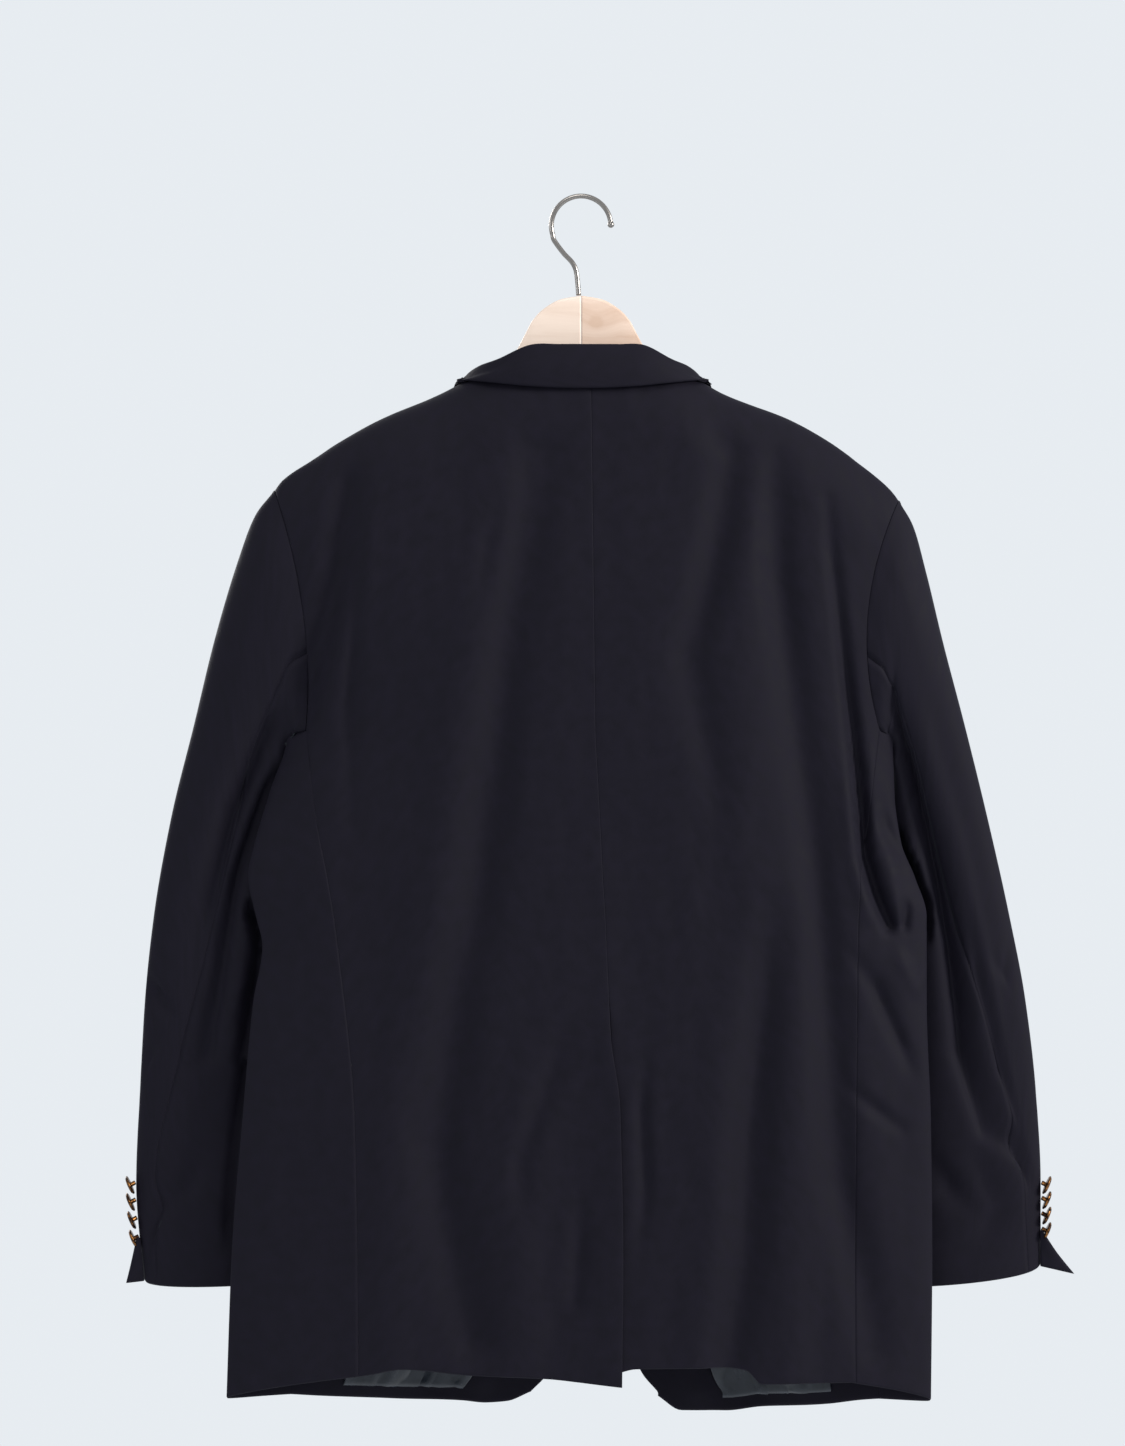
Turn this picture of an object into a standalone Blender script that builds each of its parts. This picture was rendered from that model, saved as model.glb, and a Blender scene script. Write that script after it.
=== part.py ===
# A men's single-breasted blazer hanging on a flat wooden hanger.
#
# Metres, +Z up. The garment's front faces -Y and its back +Y; the wearer's left is +X.
# The origin is inside the crown of the hanger's hook, where a rail holds it up.
#
# The cloth is worn cloth: thin walls whose sections are worked out from the tables below.
# A panel is a grid of points on the garment's outer surface, rows running down and columns
# running from the centre to the side; its wall is the same grid moved inward.

import math
from collections import namedtuple

import bpy
import numpy as np

# ---------------------------------------------------------------- driving sizes

CLOTH = 0.0018            # suiting with its canvas, walls of the body and sleeves
THIN_CLOTH = 0.0015       # collar, lapels, flaps and welt
LINING_CLOTH = 0.0010
SEAM_GAP = 0.0003         # between the pieces on each side of a seam
SEAM_PULL = 0.0002        # how far each panel's edge stands back from its seam line
SLEEVE_PULL = 0.0007
LAY_GAP = 0.0008          # between a piece and the panel it lies on

UNDERARM = -0.404         # height where the armhole meets the side panel
HEM_LEVEL = -0.897        # height that the hem lines are measured from
RIDGE_Y = 0.0             # the shoulder seam lies in this plane
BACK_ROLL = 0.060         # how far below the shoulder line the back reaches its depth
FRONT_ROLL = 0.055
EDGE_ROLL_BACK = 0.42     # share of the back's depth that rounds off at the side edge
EDGE_DEPTH_FRONT = 0.008  # depth of the front's rounding at the side edge

OVERLAP_LIFT = 0.0068     # the left front lies this far out over the right one
OVERLAP_FLAT = 0.030
OVERLAP_RAMP = 0.065

BodyRow = namedtuple(
    "BodyRow",
    "height centre left_edge right_edge edge_y back_y front_y hollow_from hollow_to",
)
BODY = (
    BodyRow(-0.100, -0.0080, 0.262, -0.268, -0.002, 0.030, -0.030, 0.82, 1.10),
    BodyRow(-0.221, -0.0090, 0.262, -0.272, -0.002, 0.035, -0.038, 0.82, 1.10),
    BodyRow(-0.317, -0.0095, 0.242, -0.254, -0.003, 0.039, -0.047, 0.80, 1.06),
    BodyRow(-0.404, -0.0115, 0.222, -0.238, -0.003, 0.039, -0.051, 0.70, 0.99),
    BodyRow(-0.452, -0.0140, 0.236, -0.239, 0.001, 0.038, -0.051, 0.60, 0.92),
    BodyRow(-0.490, -0.0160, 0.247, -0.244, 0.004, 0.037, -0.050, 0.52, 0.87),
    BodyRow(-0.515, -0.0172, 0.252, -0.254, 0.005, 0.037, -0.050, 0.47, 0.84),
    BodyRow(-0.545, -0.0190, 0.246, -0.263, 0.007, 0.037, -0.049, 0.42, 0.81),
    BodyRow(-0.568, -0.0200, 0.241, -0.263, 0.008, 0.037, -0.049, 0.39, 0.79),
    BodyRow(-0.611, -0.0220, 0.248, -0.263, 0.009, 0.037, -0.048, 0.34, 0.77),
    BodyRow(-0.700, -0.0260, 0.256, -0.266, 0.011, 0.038, -0.046, 0.30, 0.76),
    BodyRow(-0.800, -0.0280, 0.264, -0.267, 0.012, 0.039, -0.045, 0.29, 0.78),
    BodyRow(-0.911, -0.0270, 0.268, -0.266, 0.013, 0.041, -0.044, 0.30, 0.80),
)

ShoulderRow = namedtuple("ShoulderRow", "height left_x right_x")
SHOULDER = (
    ShoulderRow(-0.1010, 0.000, 0.000),
    ShoulderRow(-0.1190, 0.050, 0.054),
    ShoulderRow(-0.1380, 0.086, 0.090),
    ShoulderRow(-0.1490, 0.107, 0.110),
    ShoulderRow(-0.1680, 0.152, 0.159),
    ShoulderRow(-0.1840, 0.181, 0.188),
    ShoulderRow(-0.1990, 0.204, 0.209),
    ShoulderRow(-0.2140, 0.226, 0.228),
    ShoulderRow(-0.2215, 0.232, 0.236),
    ShoulderRow(-0.2290, 0.238, 0.242),
)

Cut = namedtuple(
    "Cut",
    "name sign neck_x shoulder_x shoulder_z armhole_foot back_scoop front_scoop front_seam",
)
LEFT = Cut("left", 1.0, 0.084, 0.232, -0.2215, 0.208, 0.010, 0.024, 0.905)
RIGHT = Cut("right", -1.0, -0.088, -0.242, -0.2290, -0.2275, 0.017, 0.028, 0.905)
SIDES = (LEFT, RIGHT)

NECK_BACK = -0.140        # height of the back neck seam at the centre

SeamRow = namedtuple("SeamRow", "height left_x right_x")
BACK_SEAM = (
    SeamRow(-0.404, 0.208, -0.2275),
    SeamRow(-0.475, 0.199, -0.2180),
    SeamRow(-0.515, 0.191, -0.2120),
    SeamRow(-0.560, 0.184, -0.2100),
    SeamRow(-0.700, 0.170, -0.2085),
    SeamRow(-0.800, 0.168, -0.2080),
    SeamRow(-0.911, 0.167, -0.2080),
)

EdgeRow = namedtuple("EdgeRow", "height left_x right_x")
FRONT_EDGE = (             # neck, roll line down to the break, front edge, cutaway
    EdgeRow(-0.138, 0.0840, -0.0880),
    EdgeRow(-0.157, 0.0770, -0.0820),
    EdgeRow(-0.197, 0.0645, -0.0730),
    EdgeRow(-0.250, 0.0465, -0.0600),
    EdgeRow(-0.324, 0.0217, -0.0410),
    EdgeRow(-0.404, -0.0052, -0.0205),
    EdgeRow(-0.470, -0.0270, -0.0036),
    EdgeRow(-0.495, -0.0345, 0.0010),
    EdgeRow(-0.560, -0.0380, -0.0010),
    EdgeRow(-0.650, -0.0420, -0.0060),
    EdgeRow(-0.700, -0.0410, -0.0085),
    EdgeRow(-0.760, -0.0330, -0.0130),
    EdgeRow(-0.820, -0.0160, -0.0230),
    EdgeRow(-0.870, 0.0060, -0.0360),
    EdgeRow(-0.898, 0.0240, -0.0480),
    EdgeRow(-0.912, 0.0380, -0.0600),
)
BREAK = -0.492            # height where the lapels turn over

HemPoint = namedtuple("HemPoint", "x height")
HEMS = {
    ("back", "left"): (
        HemPoint(-0.027, -0.899), HemPoint(0.024, -0.893), HemPoint(0.087, -0.890),
        HemPoint(0.134, -0.886), HemPoint(0.157, -0.890), HemPoint(0.199, -0.898),
        HemPoint(0.228, -0.908), HemPoint(0.268, -0.909),
    ),
    ("back", "right"): (
        HemPoint(-0.027, -0.889), HemPoint(-0.042, -0.8855), HemPoint(-0.107, -0.885),
        HemPoint(-0.125, -0.887), HemPoint(-0.137, -0.897), HemPoint(-0.205, -0.8965),
        HemPoint(-0.220, -0.904), HemPoint(-0.242, -0.906), HemPoint(-0.265, -0.911),
    ),
    ("front", "left"): (
        HemPoint(0.038, -0.912), HemPoint(0.056, -0.919), HemPoint(0.072, -0.920),
        HemPoint(0.090, -0.918), HemPoint(0.128, -0.915), HemPoint(0.157, -0.912),
        HemPoint(0.199, -0.909), HemPoint(0.230, -0.907),
    ),
    ("front", "right"): (
        HemPoint(-0.060, -0.915), HemPoint(-0.078, -0.926), HemPoint(-0.112, -0.926),
        HemPoint(-0.139, -0.922), HemPoint(-0.189, -0.916), HemPoint(-0.215, -0.912),
        HemPoint(-0.230, -0.911),
    ),
}
SIDE_HEM = {"left": -0.909, "right": -0.911}

# Rows of the body above the underarm, as shares of the way down the armhole, and below it,
# as shares of the way from the underarm to the hem.
ARMHOLE_ROWS = (0.0, 0.010, 0.075, 0.150, 0.230, 0.440, 0.680, 0.870, 1.0)
SKIRT_ROWS = (
    0.0, 0.060, 0.125, 0.190, 0.260, 0.340, 0.420, 0.497,
    0.553, 0.609, 0.690, 0.770, 0.850, 0.920, 0.968, 1.0,
)
NECK_COLUMNS = 4
SHOULDER_COLUMNS = 10
SIDE_COLUMNS = 6

# ---------------------------------------------------------------- folds of the hung cloth

Fold = namedtuple("Fold", "name depth width path")
BACK_FOLDS = (              # depth is out from the surface; a trough is negative
    Fold("left shoulder blade", -0.0055, 0.015, (
        (0.168, -0.215), (0.176, -0.285), (0.189, -0.335), (0.198, -0.367), (0.208, -0.398),
    )),
    Fold("left centre drape", -0.0060, 0.022, (
        (0.017, -0.197), (0.034, -0.279), (0.048, -0.385), (0.066, -0.520), (0.080, -0.600),
        (0.095, -0.718), (0.090, -0.765), (0.081, -0.817), (0.071, -0.862),
    )),
    Fold("left centre swell", 0.0045, 0.022, (
        (0.045, -0.230), (0.078, -0.385), (0.105, -0.560), (0.128, -0.700), (0.128, -0.840),
    )),
    Fold("vent side swell", 0.0035, 0.020, (
        (0.004, -0.620), (0.022, -0.690), (0.034, -0.760), (0.028, -0.850),
    )),
    Fold("right centre drape", -0.0045, 0.020, (
        (-0.129, -0.197), (-0.116, -0.250), (-0.104, -0.303), (-0.112, -0.400), (-0.113, -0.461),
    )),
    Fold("right centre swell", 0.0040, 0.020, (
        (-0.132, -0.250), (-0.140, -0.400), (-0.132, -0.560), (-0.116, -0.700), (-0.105, -0.850),
    )),
    Fold("right long drape", -0.0060, 0.018, (
        (-0.157, -0.210), (-0.158, -0.281), (-0.169, -0.366), (-0.181, -0.457), (-0.193, -0.560),
        (-0.199, -0.660), (-0.206, -0.745), (-0.221, -0.815),
    )),
    Fold("right skirt drape", -0.0065, 0.018, (
        (-0.155, -0.549), (-0.145, -0.644), (-0.138, -0.704), (-0.134, -0.800), (-0.121, -0.884),
    )),
    Fold("right skirt swell", 0.0040, 0.018, (
        (-0.172, -0.600), (-0.170, -0.700), (-0.172, -0.800), (-0.170, -0.890),
    )),
)
FRONT_FOLDS = (             # the hidden fronts hang in a few broad drapes of the same kind
    Fold("left front drape", 0.0050, 0.024, (
        (0.120, -0.300), (0.118, -0.450), (0.110, -0.650), (0.116, -0.880),
    )),
    Fold("left front swell", -0.0045, 0.022, (
        (0.170, -0.360), (0.160, -0.520), (0.152, -0.700), (0.160, -0.890),
    )),
    Fold("right front drape", 0.0050, 0.024, (
        (-0.140, -0.300), (-0.134, -0.450), (-0.128, -0.650), (-0.140, -0.890),
    )),
    Fold("right front swell", -0.0045, 0.022, (
        (-0.190, -0.360), (-0.184, -0.520), (-0.178, -0.720), (-0.190, -0.890),
    )),
)

# ---------------------------------------------------------------- sleeves

SleeveRow = namedtuple(
    "SleeveRow",
    "along outer_x outer_z inner_x inner_z outer_y inner_y back_depth front_depth",
)
SLEEVES = {
    "left": (
        SleeveRow(0.00, 0.2320, -0.2215, 0.222, -0.408, 0.000, -0.004, 0.024, 0.030),
        SleeveRow(0.05, 0.2465, -0.2400, 0.2300, -0.411, -0.001, -0.007, 0.026, 0.032),
        SleeveRow(0.12, 0.2600, -0.2750, 0.2290, -0.423, -0.003, -0.015, 0.027, 0.033),
        SleeveRow(0.22, 0.2780, -0.3350, 0.2240, -0.446, -0.006, -0.026, 0.026, 0.032),
        SleeveRow(0.33, 0.2940, -0.4000, 0.2200, -0.478, -0.010, -0.033, 0.023, 0.030),
        SleeveRow(0.45, 0.3115, -0.4700, 0.218, -0.522, -0.014, -0.035, 0.021, 0.028),
        SleeveRow(0.57, 0.3250, -0.5450, 0.211, -0.575, -0.017, -0.037, 0.020, 0.026),
        SleeveRow(0.68, 0.3320, -0.6100, 0.205, -0.630, -0.019, -0.038, 0.019, 0.024),
        SleeveRow(0.79, 0.3360, -0.6800, 0.198, -0.690, -0.021, -0.038, 0.018, 0.022),
        SleeveRow(0.90, 0.3390, -0.7500, 0.191, -0.755, -0.022, -0.037, 0.018, 0.021),
        SleeveRow(1.00, 0.3330, -0.8230, 0.184, -0.816, -0.022, -0.036, 0.018, 0.020),
    ),
    "right": (
        SleeveRow(0.00, -0.2420, -0.2290, -0.240, -0.411, 0.000, -0.004, 0.024, 0.030),
        SleeveRow(0.05, -0.2530, -0.2480, -0.2465, -0.414, -0.001, -0.007, 0.026, 0.032),
        SleeveRow(0.12, -0.2630, -0.2830, -0.2450, -0.426, -0.003, -0.015, 0.027, 0.033),
        SleeveRow(0.22, -0.2765, -0.3380, -0.2390, -0.449, -0.006, -0.026, 0.026, 0.032),
        SleeveRow(0.33, -0.2930, -0.4000, -0.2300, -0.481, -0.010, -0.033, 0.023, 0.030),
        SleeveRow(0.45, -0.3105, -0.4700, -0.228, -0.524, -0.014, -0.036, 0.021, 0.028),
        SleeveRow(0.57, -0.3275, -0.5450, -0.228, -0.576, -0.017, -0.037, 0.020, 0.026),
        SleeveRow(0.68, -0.3400, -0.6100, -0.227, -0.630, -0.019, -0.038, 0.019, 0.024),
        SleeveRow(0.79, -0.3482, -0.6800, -0.221, -0.690, -0.021, -0.038, 0.018, 0.022),
        SleeveRow(0.90, -0.3520, -0.7500, -0.214, -0.755, -0.022, -0.037, 0.018, 0.021),
        SleeveRow(1.00, -0.3520, -0.8100, -0.207, -0.822, -0.022, -0.036, 0.018, 0.020),
    ),
}
SLEEVE_ROWS = (
    0.0, 0.025, 0.065, 0.12, 0.17, 0.22, 0.275, 0.33, 0.39, 0.45,
    0.51, 0.57, 0.625, 0.68, 0.735, 0.79, 0.845, 0.90, 0.95, 1.0,
)
SLEEVE_SET = 0.0006         # the sleeve's top ring stands this far out of the armhole
SETTLE = 0.34               # share of the sleeve over which the armhole's shape dies away
SLEEVE_CLEAR = 0.0032       # between a sleeve and the side of the body it hangs against
EDGE_PASS = 0.10            # how far outside the body's edge the sleeve begins to give way
CUFF_DROP = 0.006           # the cuff's lowest point under the line between its corners

SLEEVE_STRETCH = 28.0       # columns of sleeve round that measure as much as its length
SleeveFold = namedtuple("SleeveFold", "name depth width path")
SLEEVE_FOLDS = {            # paths are (share along the sleeve, column round it)
    "left": (
        SleeveFold("upper arm", -0.0045, 1.3, ((0.16, 4.6), (0.40, 4.2), (0.62, 3.2))),
        SleeveFold("elbow", -0.0035, 1.1, ((0.66, 5.4), (0.74, 4.8), (0.80, 3.6))),
        SleeveFold("forearm", -0.0030, 1.2, ((0.86, 4.4), (0.92, 3.0))),
        SleeveFold("front of the arm", -0.0040, 1.4, ((0.20, 15.0), (0.50, 16.0), (0.74, 15.4))),
    ),
    "right": (
        SleeveFold("hindarm", -0.0060, 1.1, (
            (0.18, 6.6), (0.34, 6.0), (0.50, 5.0), (0.66, 4.2), (0.80, 3.4), (0.88, 2.6),
        )),
        SleeveFold("forearm", -0.0030, 1.2, ((0.90, 6.0), (0.95, 3.6))),
        SleeveFold("front of the arm", -0.0040, 1.4, ((0.20, 15.0), (0.50, 16.0), (0.74, 15.4))),
    ),
}

# ---------------------------------------------------------------- collar and lapels

StandRow = namedtuple("StandRow", "station rise")     # stations count from the centre back
STAND = (StandRow(0, 0.0245), StandRow(1, 0.0245), StandRow(2, 0.0240), StandRow(3, 0.0125),
         StandRow(4, 0.0012))
LeafRow = namedtuple("LeafRow", "station out_x out_y height")   # the leaf's outer edge
LEAF_EDGE = (              # out_x is from the neck's middle, toward either side
    LeafRow(0, 0.000, 0.0345, -0.1460), LeafRow(1, 0.023, 0.0340, -0.1455),
    LeafRow(2, 0.045, 0.0325, -0.1440), LeafRow(3, 0.068, 0.0265, -0.1415),
    LeafRow(4, 0.0935, 0.0060, -0.1385), LeafRow(5, 0.0990, -0.0140, -0.1440),
    LeafRow(6, 0.1060, -0.0260, -0.1600), LeafRow(7, 0.1110, -0.0330, -0.1740),
    LeafRow(8, 0.1160, -0.0380, -0.1860),
)
NECK_MIDDLE = -0.0015
ROLL_OUT = 0.0016          # how far the turned cloth stands off at its fold
ROLL_IN = 0.0045           # how far from the fold it lies flat again
COLLAR_SWELL = 0.0012
ARCH = 0.0009              # extra clearance under the leaf, where it spans a bend of the shoulder
NECK_HALF = 0.086          # half width of the neck that the leaf's table is made for
GORGE_STATION = 4          # row of the fronts' inner edge where collar and lapel meet
GORGE_END = 0.044          # length of the gorge seam
LAPEL_POINT = (0.140, -0.2260)      # x from the neck's middle, and height
LAPEL_FOOT_OUT = 0.010     # width of the lapel at the break
LAPEL_BELLY = 0.00672      # how far its edge bows out between the point and the break
LAPEL_REST = 0.0006        # between its edge and the front, past the lay gap
LAPEL_SWELL = 0.002
BREAK_ROLL = 0.35          # how much of the roll is left at the break
GORGE_GAP = 0.0011

# ---------------------------------------------------------------- pockets, lining, vent

FLAP_ROWS = (15, 16, 17)
FLAP_COLUMNS = (4, 5, 6, 7, 8, 9, 9.6)
WELT_ROWS = (5.34, 5.76)
WELT_COLUMNS = (4.6, 5.0, 6.0, 7.0, 8.0, 8.7)
WELT_SLANT = 0.30          # rows by which the welt rises to the armhole
LINING_ROWS = (19, 20, 21, 22, 22.5)
LINING_COLUMNS = (3, 4, 5, 6, 7, 8)
UNDERLAP_FROM = 14         # first row of the vent
UNDERLAP_COLUMNS = (0, 1, 2)

# ---------------------------------------------------------------- buttons

BUTTON_SIDES = 12
BUTTON_GAP = 0.0004        # between a shank's foot and its cloth
ButtonSize = namedtuple("ButtonSize", "radius thickness shank_radius shank_length")
FRONT_BUTTON = ButtonSize(0.0105, 0.0034, 0.0022, 0.0026)
CUFF_BUTTON = ButtonSize(0.0074, 0.0028, 0.0017, 0.0040)
FRONT_BUTTON_HEIGHTS = (-0.515, -0.625)
CUFF_BUTTON_ALONG = (0.8990, 0.9175, 0.9360, 0.9545)
CUFF_BUTTON_TILT = 24.0    # degrees, the cuff buttons lie like shingles
CUFF_BUTTON_OFF = 0.0007   # out from the sleeve's smooth section to its faceted one

CUFF_BUTTON_TURN = 8.0     # degrees round the sleeve from its outer edge
CUFF_FLAP_TURN = 14.0
CUFF_FLAP_OFF = 0.0014     # between the flap and the sleeve's smooth section
FlapRow = namedtuple("FlapRow", "along left_out right_out")
CUFF_FLAP = (              # how far the vent's turned-out corner stands off the sleeve's edge
    FlapRow(0.955, 0.0012, 0.0020), FlapRow(0.975, 0.0042, 0.0095), FlapRow(0.998, 0.0090, 0.0205),
)

# ---------------------------------------------------------------- hanger and hook

HANGER_HALF = 0.0060       # half the board's thickness
HANGER_BEVEL = 0.0020
HANGER_MIDDLE = -0.0008
ArmRow = namedtuple("ArmRow", "out top depth")
ARM = (                    # out from the middle, round the dome to the neck of the coat
    ArmRow(0.0000, -0.0741, 0.0800), ArmRow(0.0150, -0.0767, 0.0780),
    ArmRow(0.0280, -0.0837, 0.0730), ArmRow(0.0370, -0.0930, 0.0660),
    ArmRow(0.0430, -0.1043, 0.0560), ArmRow(0.0500, -0.1170, 0.0450),
    ArmRow(0.0590, -0.1285, 0.0360), ArmRow(0.0700, -0.1375, 0.0310),
)
ARM_SIT = 0.0046           # the arm's top below the shoulder line
ARM_FALL = 0.0062          # and this much more at its end, where the cloth curves in
ARM_STATIONS = (0.084, 0.100, 0.118, 0.136, 0.154, 0.172, 0.188, 0.200, 0.207, 0.210)
ARM_DEPTHS = (0.0300, 0.0295, 0.0290, 0.0280, 0.0270, 0.0260, 0.0245, 0.0220, 0.0170, 0.0090)

WIRE_RADIUS = 0.0019
HOOK_RADIUS = 0.0226
HOOK_CENTRE = (-0.0008, -0.0207)
HOOK_START = -14.0         # degrees from +X toward +Z where the ball is, on the -X side
HOOK_END = 197.0
NeckPoint = namedtuple("NeckPoint", "x height")
HOOK_NECK = (              # from the crown's end down to the wood
    NeckPoint(0.0195, -0.0320), NeckPoint(0.0125, -0.0415), NeckPoint(0.0060, -0.0485),
    NeckPoint(0.0030, -0.0550), NeckPoint(0.0018, -0.0640), NeckPoint(0.0010, -0.0737),
)
HOOK_BALL = 0.0026
WIRE_SIDES = 8


# ---------------------------------------------------------------- curves and tables


def through(stations, values, at):
    """A smooth curve through a table's values that never overshoots them."""
    stations, values = np.asarray(stations, float), np.asarray(values, float)
    order = np.argsort(stations)
    stations, values = stations[order], values[order]
    step = np.diff(stations)
    slope = np.diff(values) / step
    grade = np.concatenate(([slope[0]], np.zeros(len(step) - 1), [slope[-1]]))
    before, after = slope[:-1], slope[1:]
    same_way = before * after > 0
    grade[1:-1][same_way] = (2 * before * after)[same_way] / (before + after)[same_way]
    at = np.clip(np.asarray(at, float), stations[0], stations[-1])
    cell = np.clip(np.searchsorted(stations, at, side="right") - 1, 0, len(step) - 1)
    part = (at - stations[cell]) / step[cell]
    return (
        (1 + 2 * part) * (1 - part) ** 2 * values[cell]
        + part * (1 - part) ** 2 * step[cell] * grade[cell]
        + part**2 * (3 - 2 * part) * values[cell + 1]
        + part**2 * (part - 1) * step[cell] * grade[cell + 1]
    )


def read(rows, column, at, key="height"):
    return through([getattr(row, key) for row in rows], [getattr(row, column) for row in rows], at)


def smooth_step(start, end, at):
    part = np.clip((at - start) / (end - start), 0.0, 1.0)
    return part * part * (3 - 2 * part)


def mix(first, second, share):
    return first + (second - first) * share


def unit(vectors):
    return vectors / np.maximum(np.linalg.norm(vectors, axis=-1, keepdims=True), 1e-12)


# ---------------------------------------------------------------- the body's surface


def fold_depth(folds, across, down, stretch=1.0):
    """Sum of the folds at points given by their two surface coordinates."""
    across = across * stretch
    total = np.zeros(np.broadcast(across, down).shape)
    for fold in folds:
        path = np.array(fold.path) * (stretch, 1.0)
        nearest = np.full(total.shape, np.inf)
        for start, end in zip(path[:-1], path[1:]):
            run = end - start
            share = ((across - start[0]) * run[0] + (down - start[1]) * run[1]) / (run @ run)
            share = np.clip(share, 0.0, 1.0)
            off_across = across - start[0] - share * run[0]
            off_down = down - start[1] - share * run[1]
            nearest = np.minimum(nearest, np.hypot(off_across, off_down))
        total += fold.depth * np.exp(-((nearest / fold.width) ** 2))
    return total


def centre_x(z):
    return read(BODY, "centre", z)


def edge_x(cut, z):
    return read(BODY, cut.name + "_edge", z)


def shoulder_z(cut, x):
    return read(SHOULDER, "height", np.abs(x), key=cut.name + "_x")


def reach(cut, x, z):
    """Share of the way from the centre line to the body's side edge."""
    return np.clip((x - centre_x(z)) / (edge_x(cut, z) - centre_x(z)), 0.0, 1.0)


def rounded(depth_below, roll):
    """0 on the shoulder line, rising like a quarter circle to 1 a roll's height below it."""
    return np.sqrt(np.maximum(0.0, 1 - (1 - np.clip(depth_below / roll, 0.0, 1.0)) ** 2))


def back_y(cut, x, z):
    q = reach(cut, x, z)
    edge, full = read(BODY, "edge_y", z), read(BODY, "back_y", z)
    round_off = np.sqrt(np.maximum(0.0, 1 - q**4))
    depth = edge + (full - edge) * (EDGE_ROLL_BACK * round_off + (1 - EDGE_ROLL_BACK) * (1 - q**3))
    rise = rounded(shoulder_z(cut, x) - z, BACK_ROLL)
    return RIDGE_Y + (depth - RIDGE_Y + fold_depth(BACK_FOLDS, x, z) * round_off) * rise


def front_y(cut, x, z):
    q = reach(cut, x, z)
    edge, full = read(BODY, "edge_y", z), read(BODY, "front_y", z)
    round_off = np.sqrt(np.maximum(0.0, 1 - q**4))
    hollow = smooth_step(read(BODY, "hollow_from", z), read(BODY, "hollow_to", z), q)
    depth = edge - EDGE_DEPTH_FRONT * round_off + (full - edge + EDGE_DEPTH_FRONT) * (1 - hollow)
    rise = rounded(shoulder_z(cut, x) - z, FRONT_ROLL)
    y = RIDGE_Y + (depth - RIDGE_Y - fold_depth(FRONT_FOLDS, x, z) * round_off * (1 - hollow)) * rise
    if cut is LEFT:
        past = x - centre_x(z) - OVERLAP_FLAT
        near_centre = 1 - smooth_step(0.0, OVERLAP_RAMP, past)
        y = y - OVERLAP_LIFT * near_centre * smooth_step(-0.20, -0.40, z)
    return y


# ---------------------------------------------------------------- panels as grids of points


def armhole_edge(cut, face, share):
    """The armhole from the shoulder point (0) to the side panel (1)."""
    scoop = cut.back_scoop if face == "back" else cut.front_scoop
    foot = cut.armhole_foot if face == "back" else front_seam_x(cut, UNDERARM)
    x = mix(cut.shoulder_x, foot, share) - cut.sign * scoop * 4 * share * (1 - share)
    z = mix(cut.shoulder_z, UNDERARM, share)
    return x, z


def back_seam_x(cut, z):
    return read(BACK_SEAM, cut.name + "_x", z)


def front_seam_x(cut, z):
    share = cut.front_seam - 0.070 * smooth_step(UNDERARM, HEM_LEVEL, z)
    return centre_x(z) + (edge_x(cut, z) - centre_x(z)) * share


def hem_z(cut, face, x):
    points = HEMS[(face, cut.name)]
    return through([point.x for point in points], [point.height for point in points], x)


def skirt_z(hem, share):
    """Height of a row of the skirt; the hem's own line shows only in the last rows."""
    return mix(UNDERARM, HEM_LEVEL, share) + (hem - HEM_LEVEL) * share**4


def joined(x, y, z):
    return np.stack(np.broadcast_arrays(x, y, z), axis=-1)


def back_columns(cut, neck=NECK_COLUMNS, shoulder=SHOULDER_COLUMNS):
    top = centre_x(NECK_BACK)
    neck_share = (cut.neck_x - top) / (cut.shoulder_x - top)
    return np.concatenate((
        np.linspace(0.0, neck_share, neck + 1)[:-1],
        np.linspace(neck_share, 1.0, shoulder + 1),
    ))


def back_grid(cut, across, armhole_rows, skirt_rows):
    top_centre = centre_x(NECK_BACK)
    top_x = mix(top_centre, cut.shoulder_x, across)
    neck_share = (cut.neck_x - top_centre) / (cut.shoulder_x - top_centre)
    neck_top = mix(NECK_BACK, shoulder_z(cut, cut.neck_x), smooth_step(0.5, 1.0, across / neck_share))
    top_z = np.where(across < neck_share - 1e-6, neck_top, shoulder_z(cut, top_x))
    base_x = mix(centre_x(UNDERARM), cut.armhole_foot, across)
    down = np.asarray(armhole_rows)[:, None]
    x = mix(top_x, base_x, down) - cut.sign * cut.back_scoop * 4 * down * (1 - down) * across**3
    z = mix(top_z, UNDERARM, down)
    hem_x = mix(centre_x(HEM_LEVEL), back_seam_x(cut, HEM_LEVEL), across)
    down = np.asarray(skirt_rows)[1:, None]
    skirt = skirt_z(hem_z(cut, "back", hem_x), down)
    skirt_x = mix(centre_x(skirt), back_seam_x(cut, skirt), across)
    x, z = np.vstack((x, skirt_x)), np.vstack((z, skirt))
    return joined(x, back_y(cut, x, z), z)


def front_inner_x(cut, z):
    return read(FRONT_EDGE, cut.name + "_x", z)


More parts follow.
